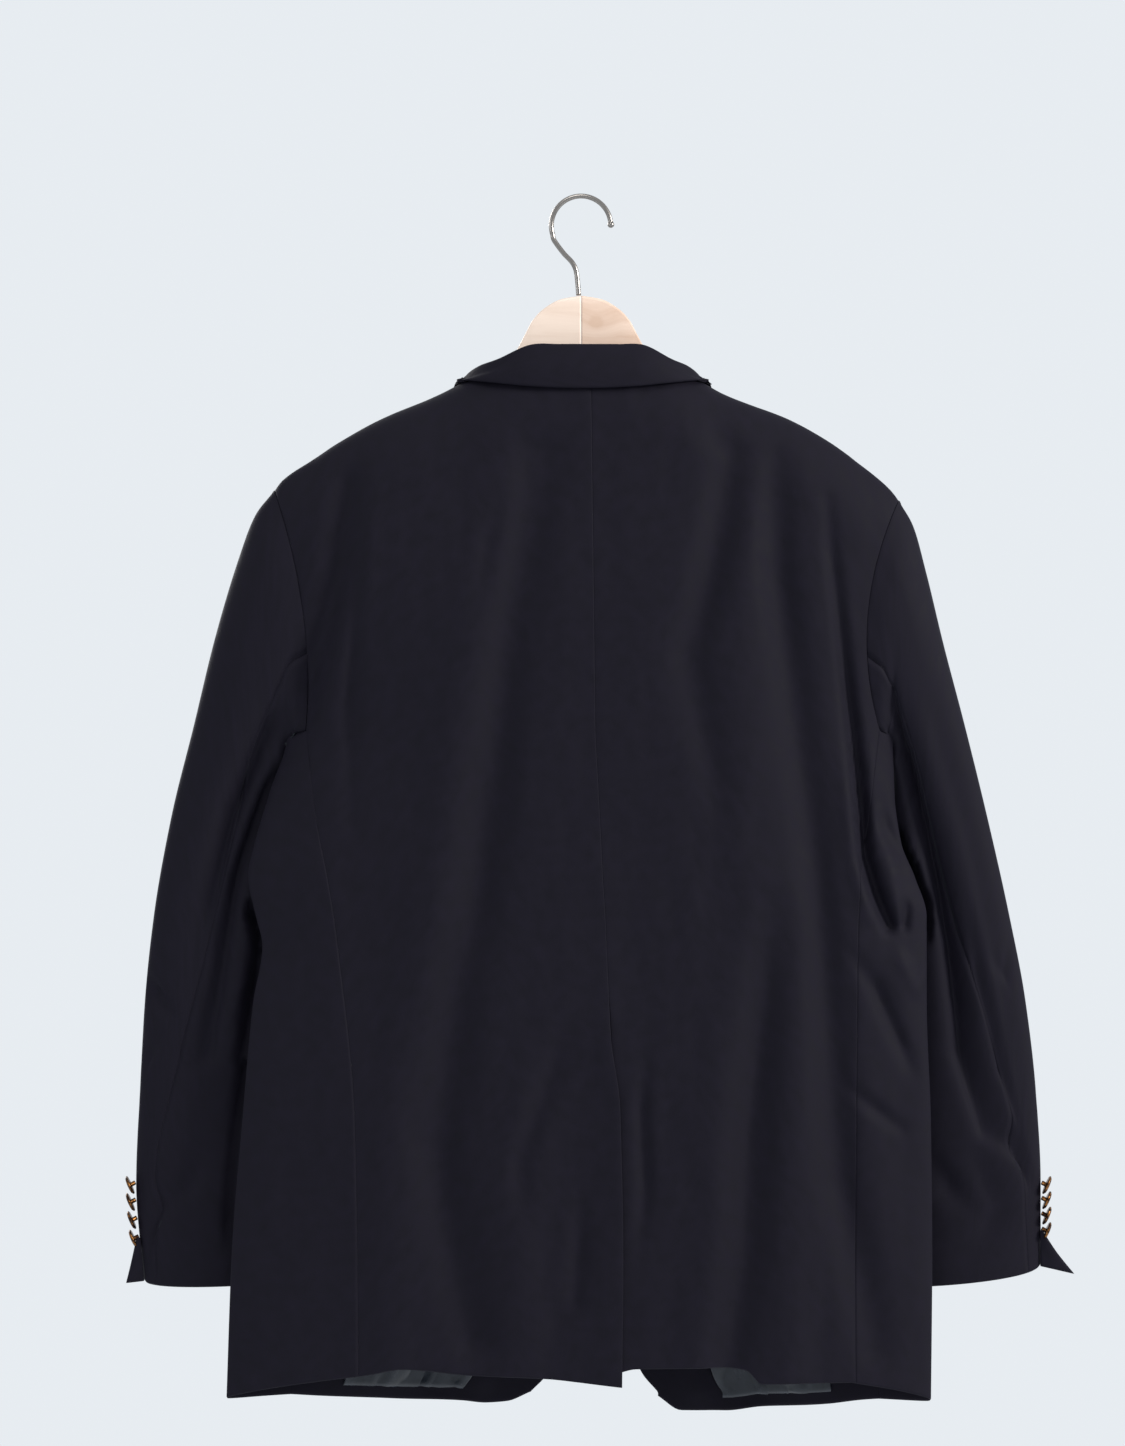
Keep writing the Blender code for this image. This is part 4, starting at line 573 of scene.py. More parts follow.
EdgeRow = namedtuple("EdgeRow", "height left_x right_x")
FRONT_EDGE = [EdgeRow(*row) for row in (  # neck, roll line down to the break, front edge, cutaway
    (-0.138, 0.0840, -0.0880), (-0.157, 0.0770, -0.0820), (-0.197, 0.0645, -0.0730),
    (-0.250, 0.0465, -0.0600), (-0.324, 0.0217, -0.0410), (-0.404, -0.0052, -0.0205),
    (-0.470, -0.0270, -0.0036), (-0.495, -0.0345, 0.0010), (-0.560, -0.0380, -0.0010),
    (-0.650, -0.0420, -0.0060), (-0.700, -0.0410, -0.0085), (-0.760, -0.0330, -0.0130),
    (-0.820, -0.0160, -0.0230), (-0.870, 0.0060, -0.0360), (-0.898, 0.0240, -0.0480),
    (-0.912, 0.0380, -0.0600),
)]
FRONT_FOLDS = (  # the fronts hang in broad drapes, broken by a few short ones
    Fold(0.0050, 0.0240, (
        (0.120, -0.300, 0.5), (0.118, -0.450, 1.0), (0.110, -0.650, 1.0), (0.116, -0.900, 1.0))),
    Fold(-0.0045, 0.0220, (
        (0.170, -0.360, 0.6), (0.160, -0.520, 1.0), (0.152, -0.700, 1.0), (0.160, -0.900, 1.0))),
    Fold(-0.0022, 0.0090, (
        (0.060, -0.520, 0.1), (0.078, -0.560, 1.0), (0.100, -0.590, 0.1))),
    Fold(-0.0020, 0.0090, (
        (0.150, -0.300, 0.1), (0.168, -0.350, 1.0), (0.182, -0.405, 0.3))),
    Fold(-0.0026, 0.0110, (
        (0.075, -0.700, 0.1), (0.070, -0.790, 1.0), (0.074, -0.900, 1.0))),
    Fold(0.0050, 0.0240, (
        (-0.140, -0.300, 0.5), (-0.134, -0.450, 1.0), (-0.128, -0.650, 1.0),
        (-0.140, -0.910, 1.0))),
    Fold(-0.0045, 0.0220, (
        (-0.190, -0.360, 0.6), (-0.184, -0.520, 1.0), (-0.178, -0.720, 1.0),
        (-0.190, -0.910, 1.0))),
    Fold(-0.0024, 0.0090, (
        (-0.070, -0.515, 0.1), (-0.092, -0.560, 1.0), (-0.118, -0.585, 0.1))),
    Fold(-0.0026, 0.0110, (
        (-0.088, -0.690, 0.1), (-0.080, -0.790, 1.0), (-0.090, -0.910, 1.0))),
)


def front_y(cut, x, z):
    q = reach(cut, x, z)
    edge, full = read(BODY, "edge_y", z), read(BODY, "front_y", z)
    round_off = np.sqrt(np.maximum(0.0, 1 - q**4))
    hollow = smooth_step(read(BODY, "hollow_from", z), read(BODY, "hollow_to", z), q)
    depth = edge - EDGE_DEPTH_FRONT * round_off + (full - edge + EDGE_DEPTH_FRONT) * (1 - hollow)
    rise = rounded(shoulder_z(cut, x) - z, FRONT_ROLL)
    relief = fold_depth(FRONT_FOLDS, x, z) + unevenness(x + 0.7, z)
    y = depth * rise - relief * round_off * (1 - hollow) * rise**2
    if cut is LEFT:
        past = x - centre_x(z) - OVERLAP_FLAT
        near_centre = 1 - smooth_step(0.0, OVERLAP_RAMP, past)
        y = y - OVERLAP_LIFT * near_centre * smooth_step(-0.20, -0.40, z)
    return y


def front_seam_x(cut, z):
    share = FRONT_SEAM - FRONT_SEAM_SWING * smooth_step(UNDERARM, HEM_LEVEL, z)
    return centre_x(z) + (edge_x(cut, z) - centre_x(z)) * share


def front_inner_x(cut, z):
    return read(FRONT_EDGE, cut.name + "_x", z)


def front_grid(cut, across, armhole_rows, skirt_rows):
    top_x = mix(cut.neck_x, cut.shoulder_x, across)
    top_z = shoulder_z(cut, top_x)
    base_x = mix(front_inner_x(cut, UNDERARM), front_seam_x(cut, UNDERARM), across)
    down = np.asarray(armhole_rows)[:, None]
    inner_z = mix(top_z[0], UNDERARM, down)
    inner_off = front_inner_x(cut, inner_z) - mix(top_x[0], base_x[0], down)
    scoop = cut.sign * cut.front_scoop * 4 * down * (1 - down)
    x = mix(top_x, base_x, down) + inner_off * (1 - across) ** 3 - scoop * across**3
    z = mix(top_z, UNDERARM, down)
    corner_x = front_inner_x(cut, FRONT_EDGE[-1].height)
    hem_x = mix(corner_x, front_seam_x(cut, HEM_LEVEL), across)
    down = np.asarray(skirt_rows)[1:, None]
    skirt = skirt_z(hem_z(cut, "front", hem_x), down)
    skirt_x = mix(front_inner_x(cut, skirt), front_seam_x(cut, skirt), across)
    x, z = np.vstack((x, skirt_x)), np.vstack((z, skirt))
    return joined(x, front_y(cut, x, z), z)


for cut in SIDES:
    grid = front_grid(cut, fitted(64, 0.26), ARMHOLE_FINE, SKIRT_FINE)
    above_hem = from_edge(grid, "bottom")[0]
    from_front = from_edge(grid, "start")[0]
    sew("front_" + cut.name, grid, -cut.sign, NAVY, ("top", "end"), ("bottom", "start"),
        inside=(above_hem > FACING) & (from_front > FRONT_FACING), seed=31)

# ---- side panels
# One narrow panel under each arm, of the same worsted, wrapped round the body's edge. It is
# seamed to the back and the front, hangs plain from the armhole to the hem, and is lined.

SIDE_HEM = {"left": -0.909, "right": -0.911}
UNDERARM_SCOOP = 0.004  # how far the panel's top dips between its seams


def side_turn(cut, seam_x, z):
    return np.arcsin(np.clip(reach(cut, seam_x, z) ** 2, 0.0, 1.0))


def side_grid(cut, across, skirt_rows):
    """The side panel, wrapped round the body's edge from the back seam to the front seam."""
    down = np.asarray(skirt_rows)[:, None]
    back_hem = hem_z(cut, "back", back_seam_x(cut, HEM_LEVEL))
    front_hem = hem_z(cut, "front", front_seam_x(cut, HEM_LEVEL))
    z = mix(skirt_z(back_hem, down), skirt_z(front_hem, down), across)
    belly = np.sin(math.pi * across)
    z = z - UNDERARM_SCOOP * belly * (1 - down) ** 6
    z = z + (SIDE_HEM[cut.name] - mix(back_hem, front_hem, 0.5)) * belly * down**4
    back_turn = side_turn(cut, back_seam_x(cut, z), z)
    front_turn = math.pi - side_turn(cut, front_seam_x(cut, z), z)
    turn = mix(back_turn, front_turn, across)
    x = centre_x(z) + (edge_x(cut, z) - centre_x(z)) * np.sqrt(np.abs(np.sin(turn)))
    y = np.where(turn < math.pi / 2, back_y(cut, x, z), front_y(cut, x, z))
    return joined(x, y, z)


for cut in SIDES:
    grid = side_grid(cut, fitted(60, 0.12), fitted(188, 0.66))
    above_hem = from_edge(grid, "bottom")[0]
    sew("side_" + cut.name, grid, cut.sign, NAVY, ("top", "start", "end"), ("bottom",),
        inside=above_hem > FACING, seed=23)

# ---- sleeves
# Each is a top sleeve round the outside of the arm and an under sleeve inside it, seamed into a
# tube and set into the armhole with a little ease. It hangs bent forward and lies creased
# against the body's side; the cuff is turned up and the inside lined.

# Stations round the armhole, as shares of the way down it
ARMHOLE_ROWS = (0.0, 0.010, 0.075, 0.150, 0.230, 0.440, 0.680, 0.870, 1.0)
SIDE_COLUMNS = 6
BACK_STATIONS = len(ARMHOLE_ROWS) - 1
SIDE_END = BACK_STATIONS + SIDE_COLUMNS
STATIONS = SIDE_END + BACK_STATIONS
HINDARM = BACK_STATIONS - 2  # the seams' columns round the sleeve
FOREARM = SIDE_END + 1
FOOT_TURN = 152.0  # degrees round the sleeve where the side panel begins
TurnRow = namedtuple("TurnRow", "along degrees")
HIND_TURN = [TurnRow(*row) for row in (  # degrees round the sleeve of its hind seam
    (0.0, 105.0), (0.3, 96.0), (0.6, 74.0), (0.85, 42.0), (1.0, 30.0),
)]
FORE_TURN = [TurnRow(*row) for row in ((0.0, 226.0), (0.4, 222.0), (1.0, 218.0))]

SleeveRow = namedtuple(
    "SleeveRow",
    "along outer_x outer_z inner_x inner_z outer_y inner_y back_depth front_depth",
)
SLEEVES = {
    "left": (
        (0.00, 0.2320, -0.2215, 0.222, -0.408, 0.000, -0.004, 0.024, 0.030),
        (0.05, 0.2465, -0.2400, 0.2250, -0.411, -0.001, -0.007, 0.026, 0.032),
        (0.12, 0.2600, -0.2750, 0.2225, -0.423, -0.003, -0.015, 0.027, 0.033),
        (0.22, 0.2780, -0.3350, 0.2200, -0.446, -0.006, -0.026, 0.026, 0.032),
        (0.33, 0.2940, -0.4000, 0.220, -0.478, -0.010, -0.033, 0.023, 0.030),
        (0.45, 0.3115, -0.4700, 0.218, -0.522, -0.014, -0.035, 0.021, 0.028),
        (0.57, 0.3250, -0.5450, 0.211, -0.575, -0.017, -0.037, 0.020, 0.026),
        (0.68, 0.3320, -0.6100, 0.205, -0.630, -0.019, -0.038, 0.019, 0.024),
        (0.79, 0.3360, -0.6800, 0.198, -0.690, -0.021, -0.038, 0.018, 0.022),
        (0.90, 0.3390, -0.7500, 0.191, -0.755, -0.022, -0.037, 0.018, 0.021),
        (1.00, 0.3330, -0.8230, 0.184, -0.816, -0.022, -0.036, 0.018, 0.020),
    ),
    "right": (
        (0.00, -0.2420, -0.2290, -0.240, -0.411, 0.000, -0.004, 0.024, 0.030),
        (0.05, -0.2530, -0.2480, -0.2400, -0.414, -0.001, -0.007, 0.026, 0.032),
        (0.12, -0.2630, -0.2830, -0.2370, -0.426, -0.003, -0.015, 0.027, 0.033),
        (0.22, -0.2765, -0.3380, -0.2350, -0.449, -0.006, -0.026, 0.026, 0.032),
        (0.33, -0.2930, -0.4000, -0.230, -0.481, -0.010, -0.033, 0.023, 0.030),
        (0.45, -0.3105, -0.4700, -0.228, -0.524, -0.014, -0.036, 0.021, 0.028),
        (0.57, -0.3275, -0.5450, -0.228, -0.576, -0.017, -0.037, 0.020, 0.026),
        (0.68, -0.3400, -0.6100, -0.227, -0.630, -0.019, -0.038, 0.019, 0.024),
        (0.79, -0.3482, -0.6800, -0.221, -0.690, -0.021, -0.038, 0.018, 0.022),
        (0.90, -0.3520, -0.7500, -0.214, -0.755, -0.022, -0.037, 0.018, 0.021),
        (1.00, -0.3520, -0.8100, -0.207, -0.822, -0.022, -0.036, 0.018, 0.020),
    ),
}
SLEEVES = {panel: [SleeveRow(*row) for row in rows] for panel, rows in SLEEVES.items()}
SLEEVE_SET = 0.0001  # the sleeve's top ring stands this far out of the armhole
SETTLE = 0.34  # share of the sleeve over which the armhole's shape dies away
SLEEVE_CLEAR = 0.0032  # between a sleeve and the side of the body it hangs against
EDGE_PASS = 0.10  # how far outside the body's edge the sleeve begins to give way
CUFF_FROM = 0.9  # share of the sleeve where the cuff's rounding begins
CUFF_DROP = {"left": 0.0080, "right": 0.0112}  # its hem below the line between its corners
CREVICE_DEPTH = 0.030  # of the dark gap between the sleeve and the body's side edge
CREVICE_WALL = {"left": (1.030, 1.062), "right": (1.014, 1.040)}  # as half widths of the body
CREVICE = {  # the heights between which it opens and closes
    "left": ((-0.512, -0.860), (-0.548, -0.770)), "right": ((-0.455, -0.590), (-0.500, -0.550)),
}
SLEEVE_STRETCH = 28.0  # columns of sleeve round that measure as much as its length
SLEEVE_FOLDS = {  # paths are (share along the sleeve, column round it, strength)
    "left": (
        Fold(-0.0105, 0.52, ((0.110, 7.10, 0.3), (0.200, 6.60, 0.9), (0.295, 6.30, 1.0),
            (0.400, 5.60, 1.0), (0.535, 5.45, 0.6), (0.600, 5.30, 0.1))),
        Fold(0.0030, 1.00, ((0.160, 5.00, 0.2), (0.300, 4.60, 1.0), (0.500, 4.00, 0.7),
            (0.620, 3.20, 0.0))),
        Fold(-0.0085, 0.44, ((0.200, 8.40, 0.2), (0.300, 7.90, 0.7), (0.480, 6.95, 1.0),
            (0.600, 6.75, 0.9), (0.700, 6.75, 1.0), (0.735, 6.90, 0.8), (0.750, 6.30, 0.3),
            (0.755, 5.60, 0.0))),
        Fold(0.0026, 0.60, ((0.560, 7.90, 0.1), (0.640, 7.80, 1.0), (0.720, 7.90, 0.4))),
        Fold(0.0024, 0.70, ((0.600, 4.98, 0.1), (0.680, 4.78, 1.0), (0.760, 4.38, 0.2))),
        Fold(-0.0062, 0.34, ((0.655, 0.75, 0.1), (0.668, 2.35, 1.0), (0.690, 4.75, 0.4))),
        Fold(-0.0045, 0.40, ((0.735, 0.33, 0.1), (0.745, 2.33, 0.9), (0.730, 4.33, 0.1))),
        Fold(-0.0070, 0.42, ((0.860, 7.66, 0.1), (0.900, 7.06, 1.0), (0.940, 5.26, 0.9),
            (0.960, 3.66, 0.1))),
        Fold(0.0020, 0.80, ((0.800, 6.92, 0.1), (0.860, 5.92, 1.0), (0.910, 4.12, 0.2))),
        Fold(-0.0040, 1.40, ((0.200, 15.00, 0.4), (0.500, 16.00, 1.0), (0.740, 15.40, 0.3))),
        Fold(-0.0028, 0.80, ((0.580, 19.80, 0.1), (0.660, 18.00, 1.0), (0.700, 15.60, 0.4))),
        Fold(-0.0022, 0.70, ((0.740, 19.40, 0.1), (0.790, 17.60, 1.0), (0.800, 15.60, 0.2))),
    ),
    "right": (
        Fold(-0.0140, 0.52, ((0.060, 7.60, 0.1), (0.120, 6.40, 0.5), (0.200, 7.00, 0.8),
            (0.300, 6.70, 1.0), (0.450, 6.35, 1.0), (0.570, 6.50, 1.0), (0.660, 6.95, 0.9),
            (0.730, 7.30, 0.8), (0.830, 6.90, 0.7), (0.875, 5.10, 0.5), (0.890, 4.30, 0.1))),
        Fold(0.0034, 0.85, ((0.140, 5.50, 0.2), (0.280, 5.30, 1.0), (0.460, 4.84, 0.9),
            (0.620, 5.10, 0.8), (0.760, 5.60, 0.2))),
        Fold(-0.0050, 0.36, ((0.540, 5.20, 0.1), (0.640, 5.60, 0.9), (0.760, 5.90, 0.9),
            (0.840, 5.20, 0.1))),
        Fold(-0.0067, 0.45, ((0.360, 9.67, 0.2), (0.430, 8.47, 1.0), (0.500, 7.97, 1.0),
            (0.570, 8.07, 0.1))),
        Fold(0.0026, 0.55, ((0.380, 8.33, 0.1), (0.460, 7.33, 1.0), (0.530, 7.13, 0.1))),
        Fold(-0.0038, 0.41, ((0.480, 9.45, 0.1), (0.530, 9.15, 1.0), (0.580, 9.05, 0.1))),
        Fold(-0.0043, 0.45, ((0.860, 9.47, 0.3), (0.900, 8.67, 1.0), (0.940, 7.27, 0.3))),
        Fold(-0.0049, 0.38, ((0.860, 7.62, 0.3), (0.900, 7.32, 1.0), (0.925, 6.92, 1.0),
            (0.950, 7.42, 0.8), (0.970, 8.42, 0.1))),
        Fold(0.0022, 0.60, ((0.830, 6.56, 0.1), (0.890, 6.36, 1.0), (0.940, 6.06, 0.2))),
        Fold(-0.0029, 0.45, ((0.600, 1.47, 0.1), (0.640, 3.27, 0.9), (0.620, 4.67, 0.1))),
        Fold(-0.0040, 1.40, ((0.200, 15.00, 0.4), (0.500, 16.00, 1.0), (0.740, 15.40, 0.3))),
        Fold(-0.0028, 0.80, ((0.540, 19.60, 0.1), (0.620, 17.80, 1.0), (0.670, 15.60, 0.4))),
        Fold(-0.0022, 0.70, ((0.720, 19.60, 0.1), (0.770, 17.80, 1.0), (0.790, 15.80, 0.2))),
    ),
}


def armhole_edge(cut, face, share):
    """The armhole from the shoulder point (0) to the side panel (1)."""
    scoop = cut.back_scoop if face == "back" else cut.front_scoop
    foot = cut.armhole_foot if face == "back" else front_seam_x(cut, UNDERARM)
    x = mix(cut.shoulder_x, foot, share) - cut.sign * scoop * 4 * share * (1 - share)
    z = mix(cut.shoulder_z, UNDERARM, share)
    return x, z


def armhole_point(cut, station):
    """The armhole's points, counted round it from the shoulder point by way of the back."""
    if station <= BACK_STATIONS:
        share = through(range(BACK_STATIONS + 1), ARMHOLE_ROWS, station)
        x, z = armhole_edge(cut, "back", share)
        return joined(x, back_y(cut, x, z), z)
    if station >= SIDE_END:
        share = through(range(BACK_STATIONS + 1), ARMHOLE_ROWS, STATIONS - station)
        x, z = armhole_edge(cut, "front", share)
        return joined(x, front_y(cut, x, z), z)
    return side_grid(cut, np.array([(station - BACK_STATIONS) / SIDE_COLUMNS]), (0.0,))[0, 0]


def station_turn(along, stations):
    """Degrees round the sleeve of each column, 0 at its outer edge and 90 at its back."""
    share = through(range(BACK_STATIONS + 1), ARMHOLE_ROWS, stations)
    fall = 1 - math.cos(math.radians(FOOT_TURN))
    drop = np.degrees(np.arccos(1 - share * fall))
    share = through(range(BACK_STATIONS + 1), ARMHOLE_ROWS, STATIONS - stations)
    rise = 360 - np.degrees(np.arccos(1 - share * fall))
    under = mix(FOOT_TURN, 360 - FOOT_TURN, (stations - BACK_STATIONS) / SIDE_COLUMNS)
    start = np.where(stations <= BACK_STATIONS, drop, np.where(stations >= SIDE_END, rise, under))
    hind = read(HIND_TURN, "degrees", along, key="along")
    fore = read(FORE_TURN, "degrees", along, key="along")
    even = np.interp(stations, (0, HINDARM, FOREARM, STATIONS), (0.0, hind, fore, 360.0))
    return mix(start, even, smooth_step(0.0, SETTLE, along))


def sleeve_ellipse(cut, along, turn):
    """Points round the sleeve's plain tube, at turns in degrees from its outer edge."""
    rows = SLEEVES[cut.name]
    value = {name: read(rows, name, along, key="along") for name in SleeveRow._fields[1:]}
    outer = np.array([value["outer_x"], value["outer_y"], value["outer_z"]])
    inner = np.array([value["inner_x"], value["inner_y"], value["inner_z"]])
    cosine, sine = np.cos(np.radians(turn)), np.sin(np.radians(turn))
    points = (outer + inner) / 2 + (outer - inner) / 2 * cosine[:, None]
    points[:, 1] += np.where(sine > 0, value["back_depth"], value["front_depth"]) * sine
    points[:, 2] -= CUFF_DROP[cut.name] * np.abs(sine) ** 0.7 * smooth_step(CUFF_FROM, 1.0, along)
    return points


def give_way(cut, points, strength):
    """Presses the sleeve forward where it passes in front of the body's side edge."""
    x, z = points[:, 0], points[:, 2]
    ratio = (x - centre_x(z)) / (edge_x(cut, z) - centre_x(z))
    inside = front_y(cut, x, z) - SLEEVE_CLEAR
    outside = read(BODY, "edge_y", z) - SLEEVE_CLEAR + 0.30 * np.maximum(ratio - 1, 0.0)
    row_from, row_to = CREVICE[cut.name]
    deep = smooth_step(row_from[0], row_to[0], z) * smooth_step(row_from[1], row_to[1], z)
    outside = outside - CREVICE_DEPTH * deep * (1 - smooth_step(*CREVICE_WALL[cut.name], ratio))
    limit = np.where(ratio < 1, inside, outside)
    over = np.maximum(points[:, 1] - limit, 0.0)
    near = np.where(ratio < 1, 1.0, 1 - smooth_step(1.0, 1.0 + EDGE_PASS, ratio))
    below = smooth_step(UNDERARM + 0.004, UNDERARM - 0.020, z)
    points[:, 1] -= over * near * below * strength
    return points


def sleeve_grid(cut, alongs, stations):
    stations = np.asarray(stations, float)
    armhole = np.array([armhole_point(cut, station) for station in stations])
    start = sleeve_ellipse(cut, 0.0, station_turn(0.0, stations))
    rows = []
    for along in alongs:
        ring = sleeve_ellipse(cut, along, station_turn(along, stations))
        keep = max(0.0, 1 - along / SETTLE) ** 2
        ring = ring + (armhole - start) * keep
        centre = sleeve_ellipse(cut, along, np.array([0.0, 180.0])).mean(axis=0)
        dent = fold_depth(SLEEVE_FOLDS[cut.name], along, stations, SLEEVE_STRETCH)
        ring = ring + unit((ring - centre) * (1, 1, 0)) * dent[:, None]
        if along > 0:
            ring = give_way(cut, ring, smooth_step(0.02, 0.10, along))
        else:
            ring[:, 0] += cut.sign * SLEEVE_SET
        rows.append(ring)
    return np.array(rows)


def body_facing(cut, station):
    """The way the body faces at a point of the armhole."""
    step = 0.0015
    if BACK_STATIONS < station < SIDE_END:
        across = (station - BACK_STATIONS) / SIDE_COLUMNS + np.array([-0.05, 0, 0.05])
        across = np.clip(across, 0, 1)
        return outward(side_grid(cut, across, (0.0, 0.01)), cut.sign)[0, 1]
    face, way = (back_y, 1.0) if station <= BACK_STATIONS else (front_y, -1.0)
    x, _, z = armhole_point(cut, station)
    z = min(z, float(shoulder_z(cut, x)) - 0.004)
    over_x = (face(cut, x - cut.sign * step, z) - face(cut, x - 2 * cut.sign * step, z)) / step
    over_z = (face(cut, x, z + step) - face(cut, x, z - step)) / (2 * step)
    return unit(np.array([cut.sign * float(over_x) * way, way, -float(over_z) * way]))


SLEEVE_ALONG = fitted(176, 0.62)
ROUND_TOP = np.linspace(0, 1, 74)
ROUND_UNDER = np.linspace(0, 1, 46)
HEAD_BLEND = 0.007  # how far below the armhole seam the sleeve turns to its own facing
HEAD_ALLOWANCE = 0.008  # self cloth that shows inside the sleeve's head

for cut in SIDES:
    parts = {
        "top_sleeve_": mix(FOREARM, STATIONS + HINDARM, ROUND_TOP) % STATIONS,
        "under_sleeve_": mix(HINDARM, FOREARM, ROUND_UNDER),
    }
    for kind, stations in parts.items():
        grid = sleeve_grid(cut, SLEEVE_ALONG, stations)
        from_head, above_cuff = from_edge(grid, "top")[0], from_edge(grid, "bottom")[0]
        body = np.array([body_facing(cut, station) for station in stations])
        near = np.exp(-((from_head / HEAD_BLEND) ** 2))[..., None]
        sew(kind + cut.name, grid, -cut.sign, NAVY, ("top", "start", "end"), ("bottom",),
            out=unit(mix(outward(grid, -cut.sign), body, near)), seed=43,
            inside=(above_cuff > FACING) & (from_head > HEAD_ALLOWANCE))

# ---- collar
# Two strips of worsted stiffened with canvas: the stand is sewn upright into the neck seam, and
# the leaf, seamed to its top, is turned down over it and steamed to the neck's curve.

THIN_CLOTH = 0.0015
LAY_GAP = 0.0008  # between a piece and the panel it lies on
SEAM_GAP = 0.0003
NECK_COLUMNS = 4
StandRow = namedtuple("StandRow", "station rise")  # stations count from the centre back
STAND = [StandRow(*row) for row in (
    (0, 0.0245), (1, 0.0245), (2, 0.0240), (3, 0.0125), (4, 0.0012),
)]
LeafRow = namedtuple("LeafRow", "station out_x out_y height")  # the leaf's outer edge
LEAF_EDGE = [LeafRow(*row) for row in (  # out_x is from the neck's middle, toward either side
    (0, 0.000, 0.0345, -0.1460), (1, 0.023, 0.0340, -0.1455),
    (2, 0.045, 0.0325, -0.1440), (3, 0.068, 0.0265, -0.1415),
    (4, 0.0935, 0.0060, -0.1385), (5, 0.0990, -0.0140, -0.1440),
    (6, 0.1060, -0.0260, -0.1600), (7, 0.1110, -0.0330, -0.1740),
    (8, 0.1160, -0.0380, -0.1860),
)]
NECK_MIDDLE = -0.0015
NECK_HALF = 0.086  # half width of the neck that the leaf's table is made for
ROLL_OUT = 0.0016  # how far the turned cloth stands off at its fold
ROLL_IN = 0.0045  # how far from the fold it lies flat again
COLLAR_SWELL = 0.0012
GORGE = NECK_COLUMNS + 4  # where collar and lapel meet
GORGE_END = 0.044  # length of the gorge seam
LAPEL_POINT = (0.140, -0.2260)  # x from the neck's middle, and height
UPWARD = np.array([0.0, 0.0, 1.0])

FINE_FRONT = {
    cut.name: front_grid(cut, np.array([0.0]), ARMHOLE_ROWS, (0.0, 1.0))[:len(ARMHOLE_ROWS), 0]
    for cut in SIDES
}
FINE_BACK = {
    cut.name: back_grid(cut, np.array([0.0, 0.25, 0.5, 0.75, 1.0]) * (
        (cut.neck_x - centre_x(NECK_BACK)) / (cut.shoulder_x - centre_x(NECK_BACK))),
        (0.0, 1.0), (0.0, 1.0))[0]
    for cut in SIDES
}


def neck_station(cut, station):
    """Point of the neck's edge, counted from the centre back round to the front."""
    back, front = FINE_BACK[cut.name], FINE_FRONT[cut.name]
    points = np.concatenate((back, front[1:]))
    at = range(len(points))
    return np.array([float(through(at, points[:, k], station)) for k in range(3)])


def outward_round_neck(cut, station):
    """Level direction away from the neck's opening."""
    before = neck_station(cut, max(station - 1, 0))
    after = neck_station(cut, min(station + 1, NECK_COLUMNS))
    run = (after - before) * (1, 1, 0)
    return unit(np.array([-run[1], run[0], 0.0]) * cut.sign)


def both_sides(build, stations):
    """Sections from the left side's last station, round the centre back, to the right's."""
    left = [build(LEFT, station) for station in reversed(stations)]
    right = [build(RIGHT, station) for station in stations]
    middle = (build(LEFT, 0) + build(RIGHT, 0)) / 2
    return np.array(left + [middle] + right)


def curve(points, at):
    """A smooth curve through a row of points, at fractional places along it."""
    points, at = np.asarray(points, float), np.asarray(at, float)
    cell = np.clip(np.floor(at).astype(int), 0, len(points) - 2)
    part = (at - cell)[:, None, None] if points.ndim == 3 else (at - cell)[:, None]
    first, last = 2 * points[0] - points[1], 2 * points[-1] - points[-2]
    p = np.concatenate((first[None], points, last[None]))
    a, b, c, d = p[cell], p[cell + 1], p[cell + 2], p[cell + 3]
    return 0.5 * (2 * b + (c - a) * part + (2 * a - 5 * b + 4 * c - d) * part**2
                  + (3 * b - 3 * c + d - a) * part**3)


def finer(grid, along, across):
    """A grid of points drawn smoothly through a coarser one's."""
    rows = curve(grid, np.linspace(0, len(grid) - 1, along))
    columns = curve(rows.transpose(1, 0, 2), np.linspace(0, grid.shape[1] - 1, across))
    return columns.transpose(1, 0, 2)


def turned_section(fold, up, across, away, base, edge, shares):
    """A leaf of cloth turned over an edge: from behind it, over it, and out to its own edge."""
    over = fold + up * (LAY_GAP + THIN_CLOTH)
    front = fold + across * ROLL_IN + away * (LAY_GAP + THIN_CLOTH + ROLL_OUT)
    points = [over - away * base, over + away * (LAY_GAP + THIN_CLOTH * 0.8), front]
    for share in shares:
        points.append(mix(front, edge, share) + away * COLLAR_SWELL * math.sin(math.pi * share))
    return points


def leaf_edge(cut, station):
    out, y, z = (
        read(LEAF_EDGE, name, station, key="station") for name in ("out_x", "out_y", "height"))
    scale = abs(cut.neck_x - NECK_MIDDLE) / NECK_HALF
    return np.array([NECK_MIDDLE + cut.sign * (out * scale), y, z])


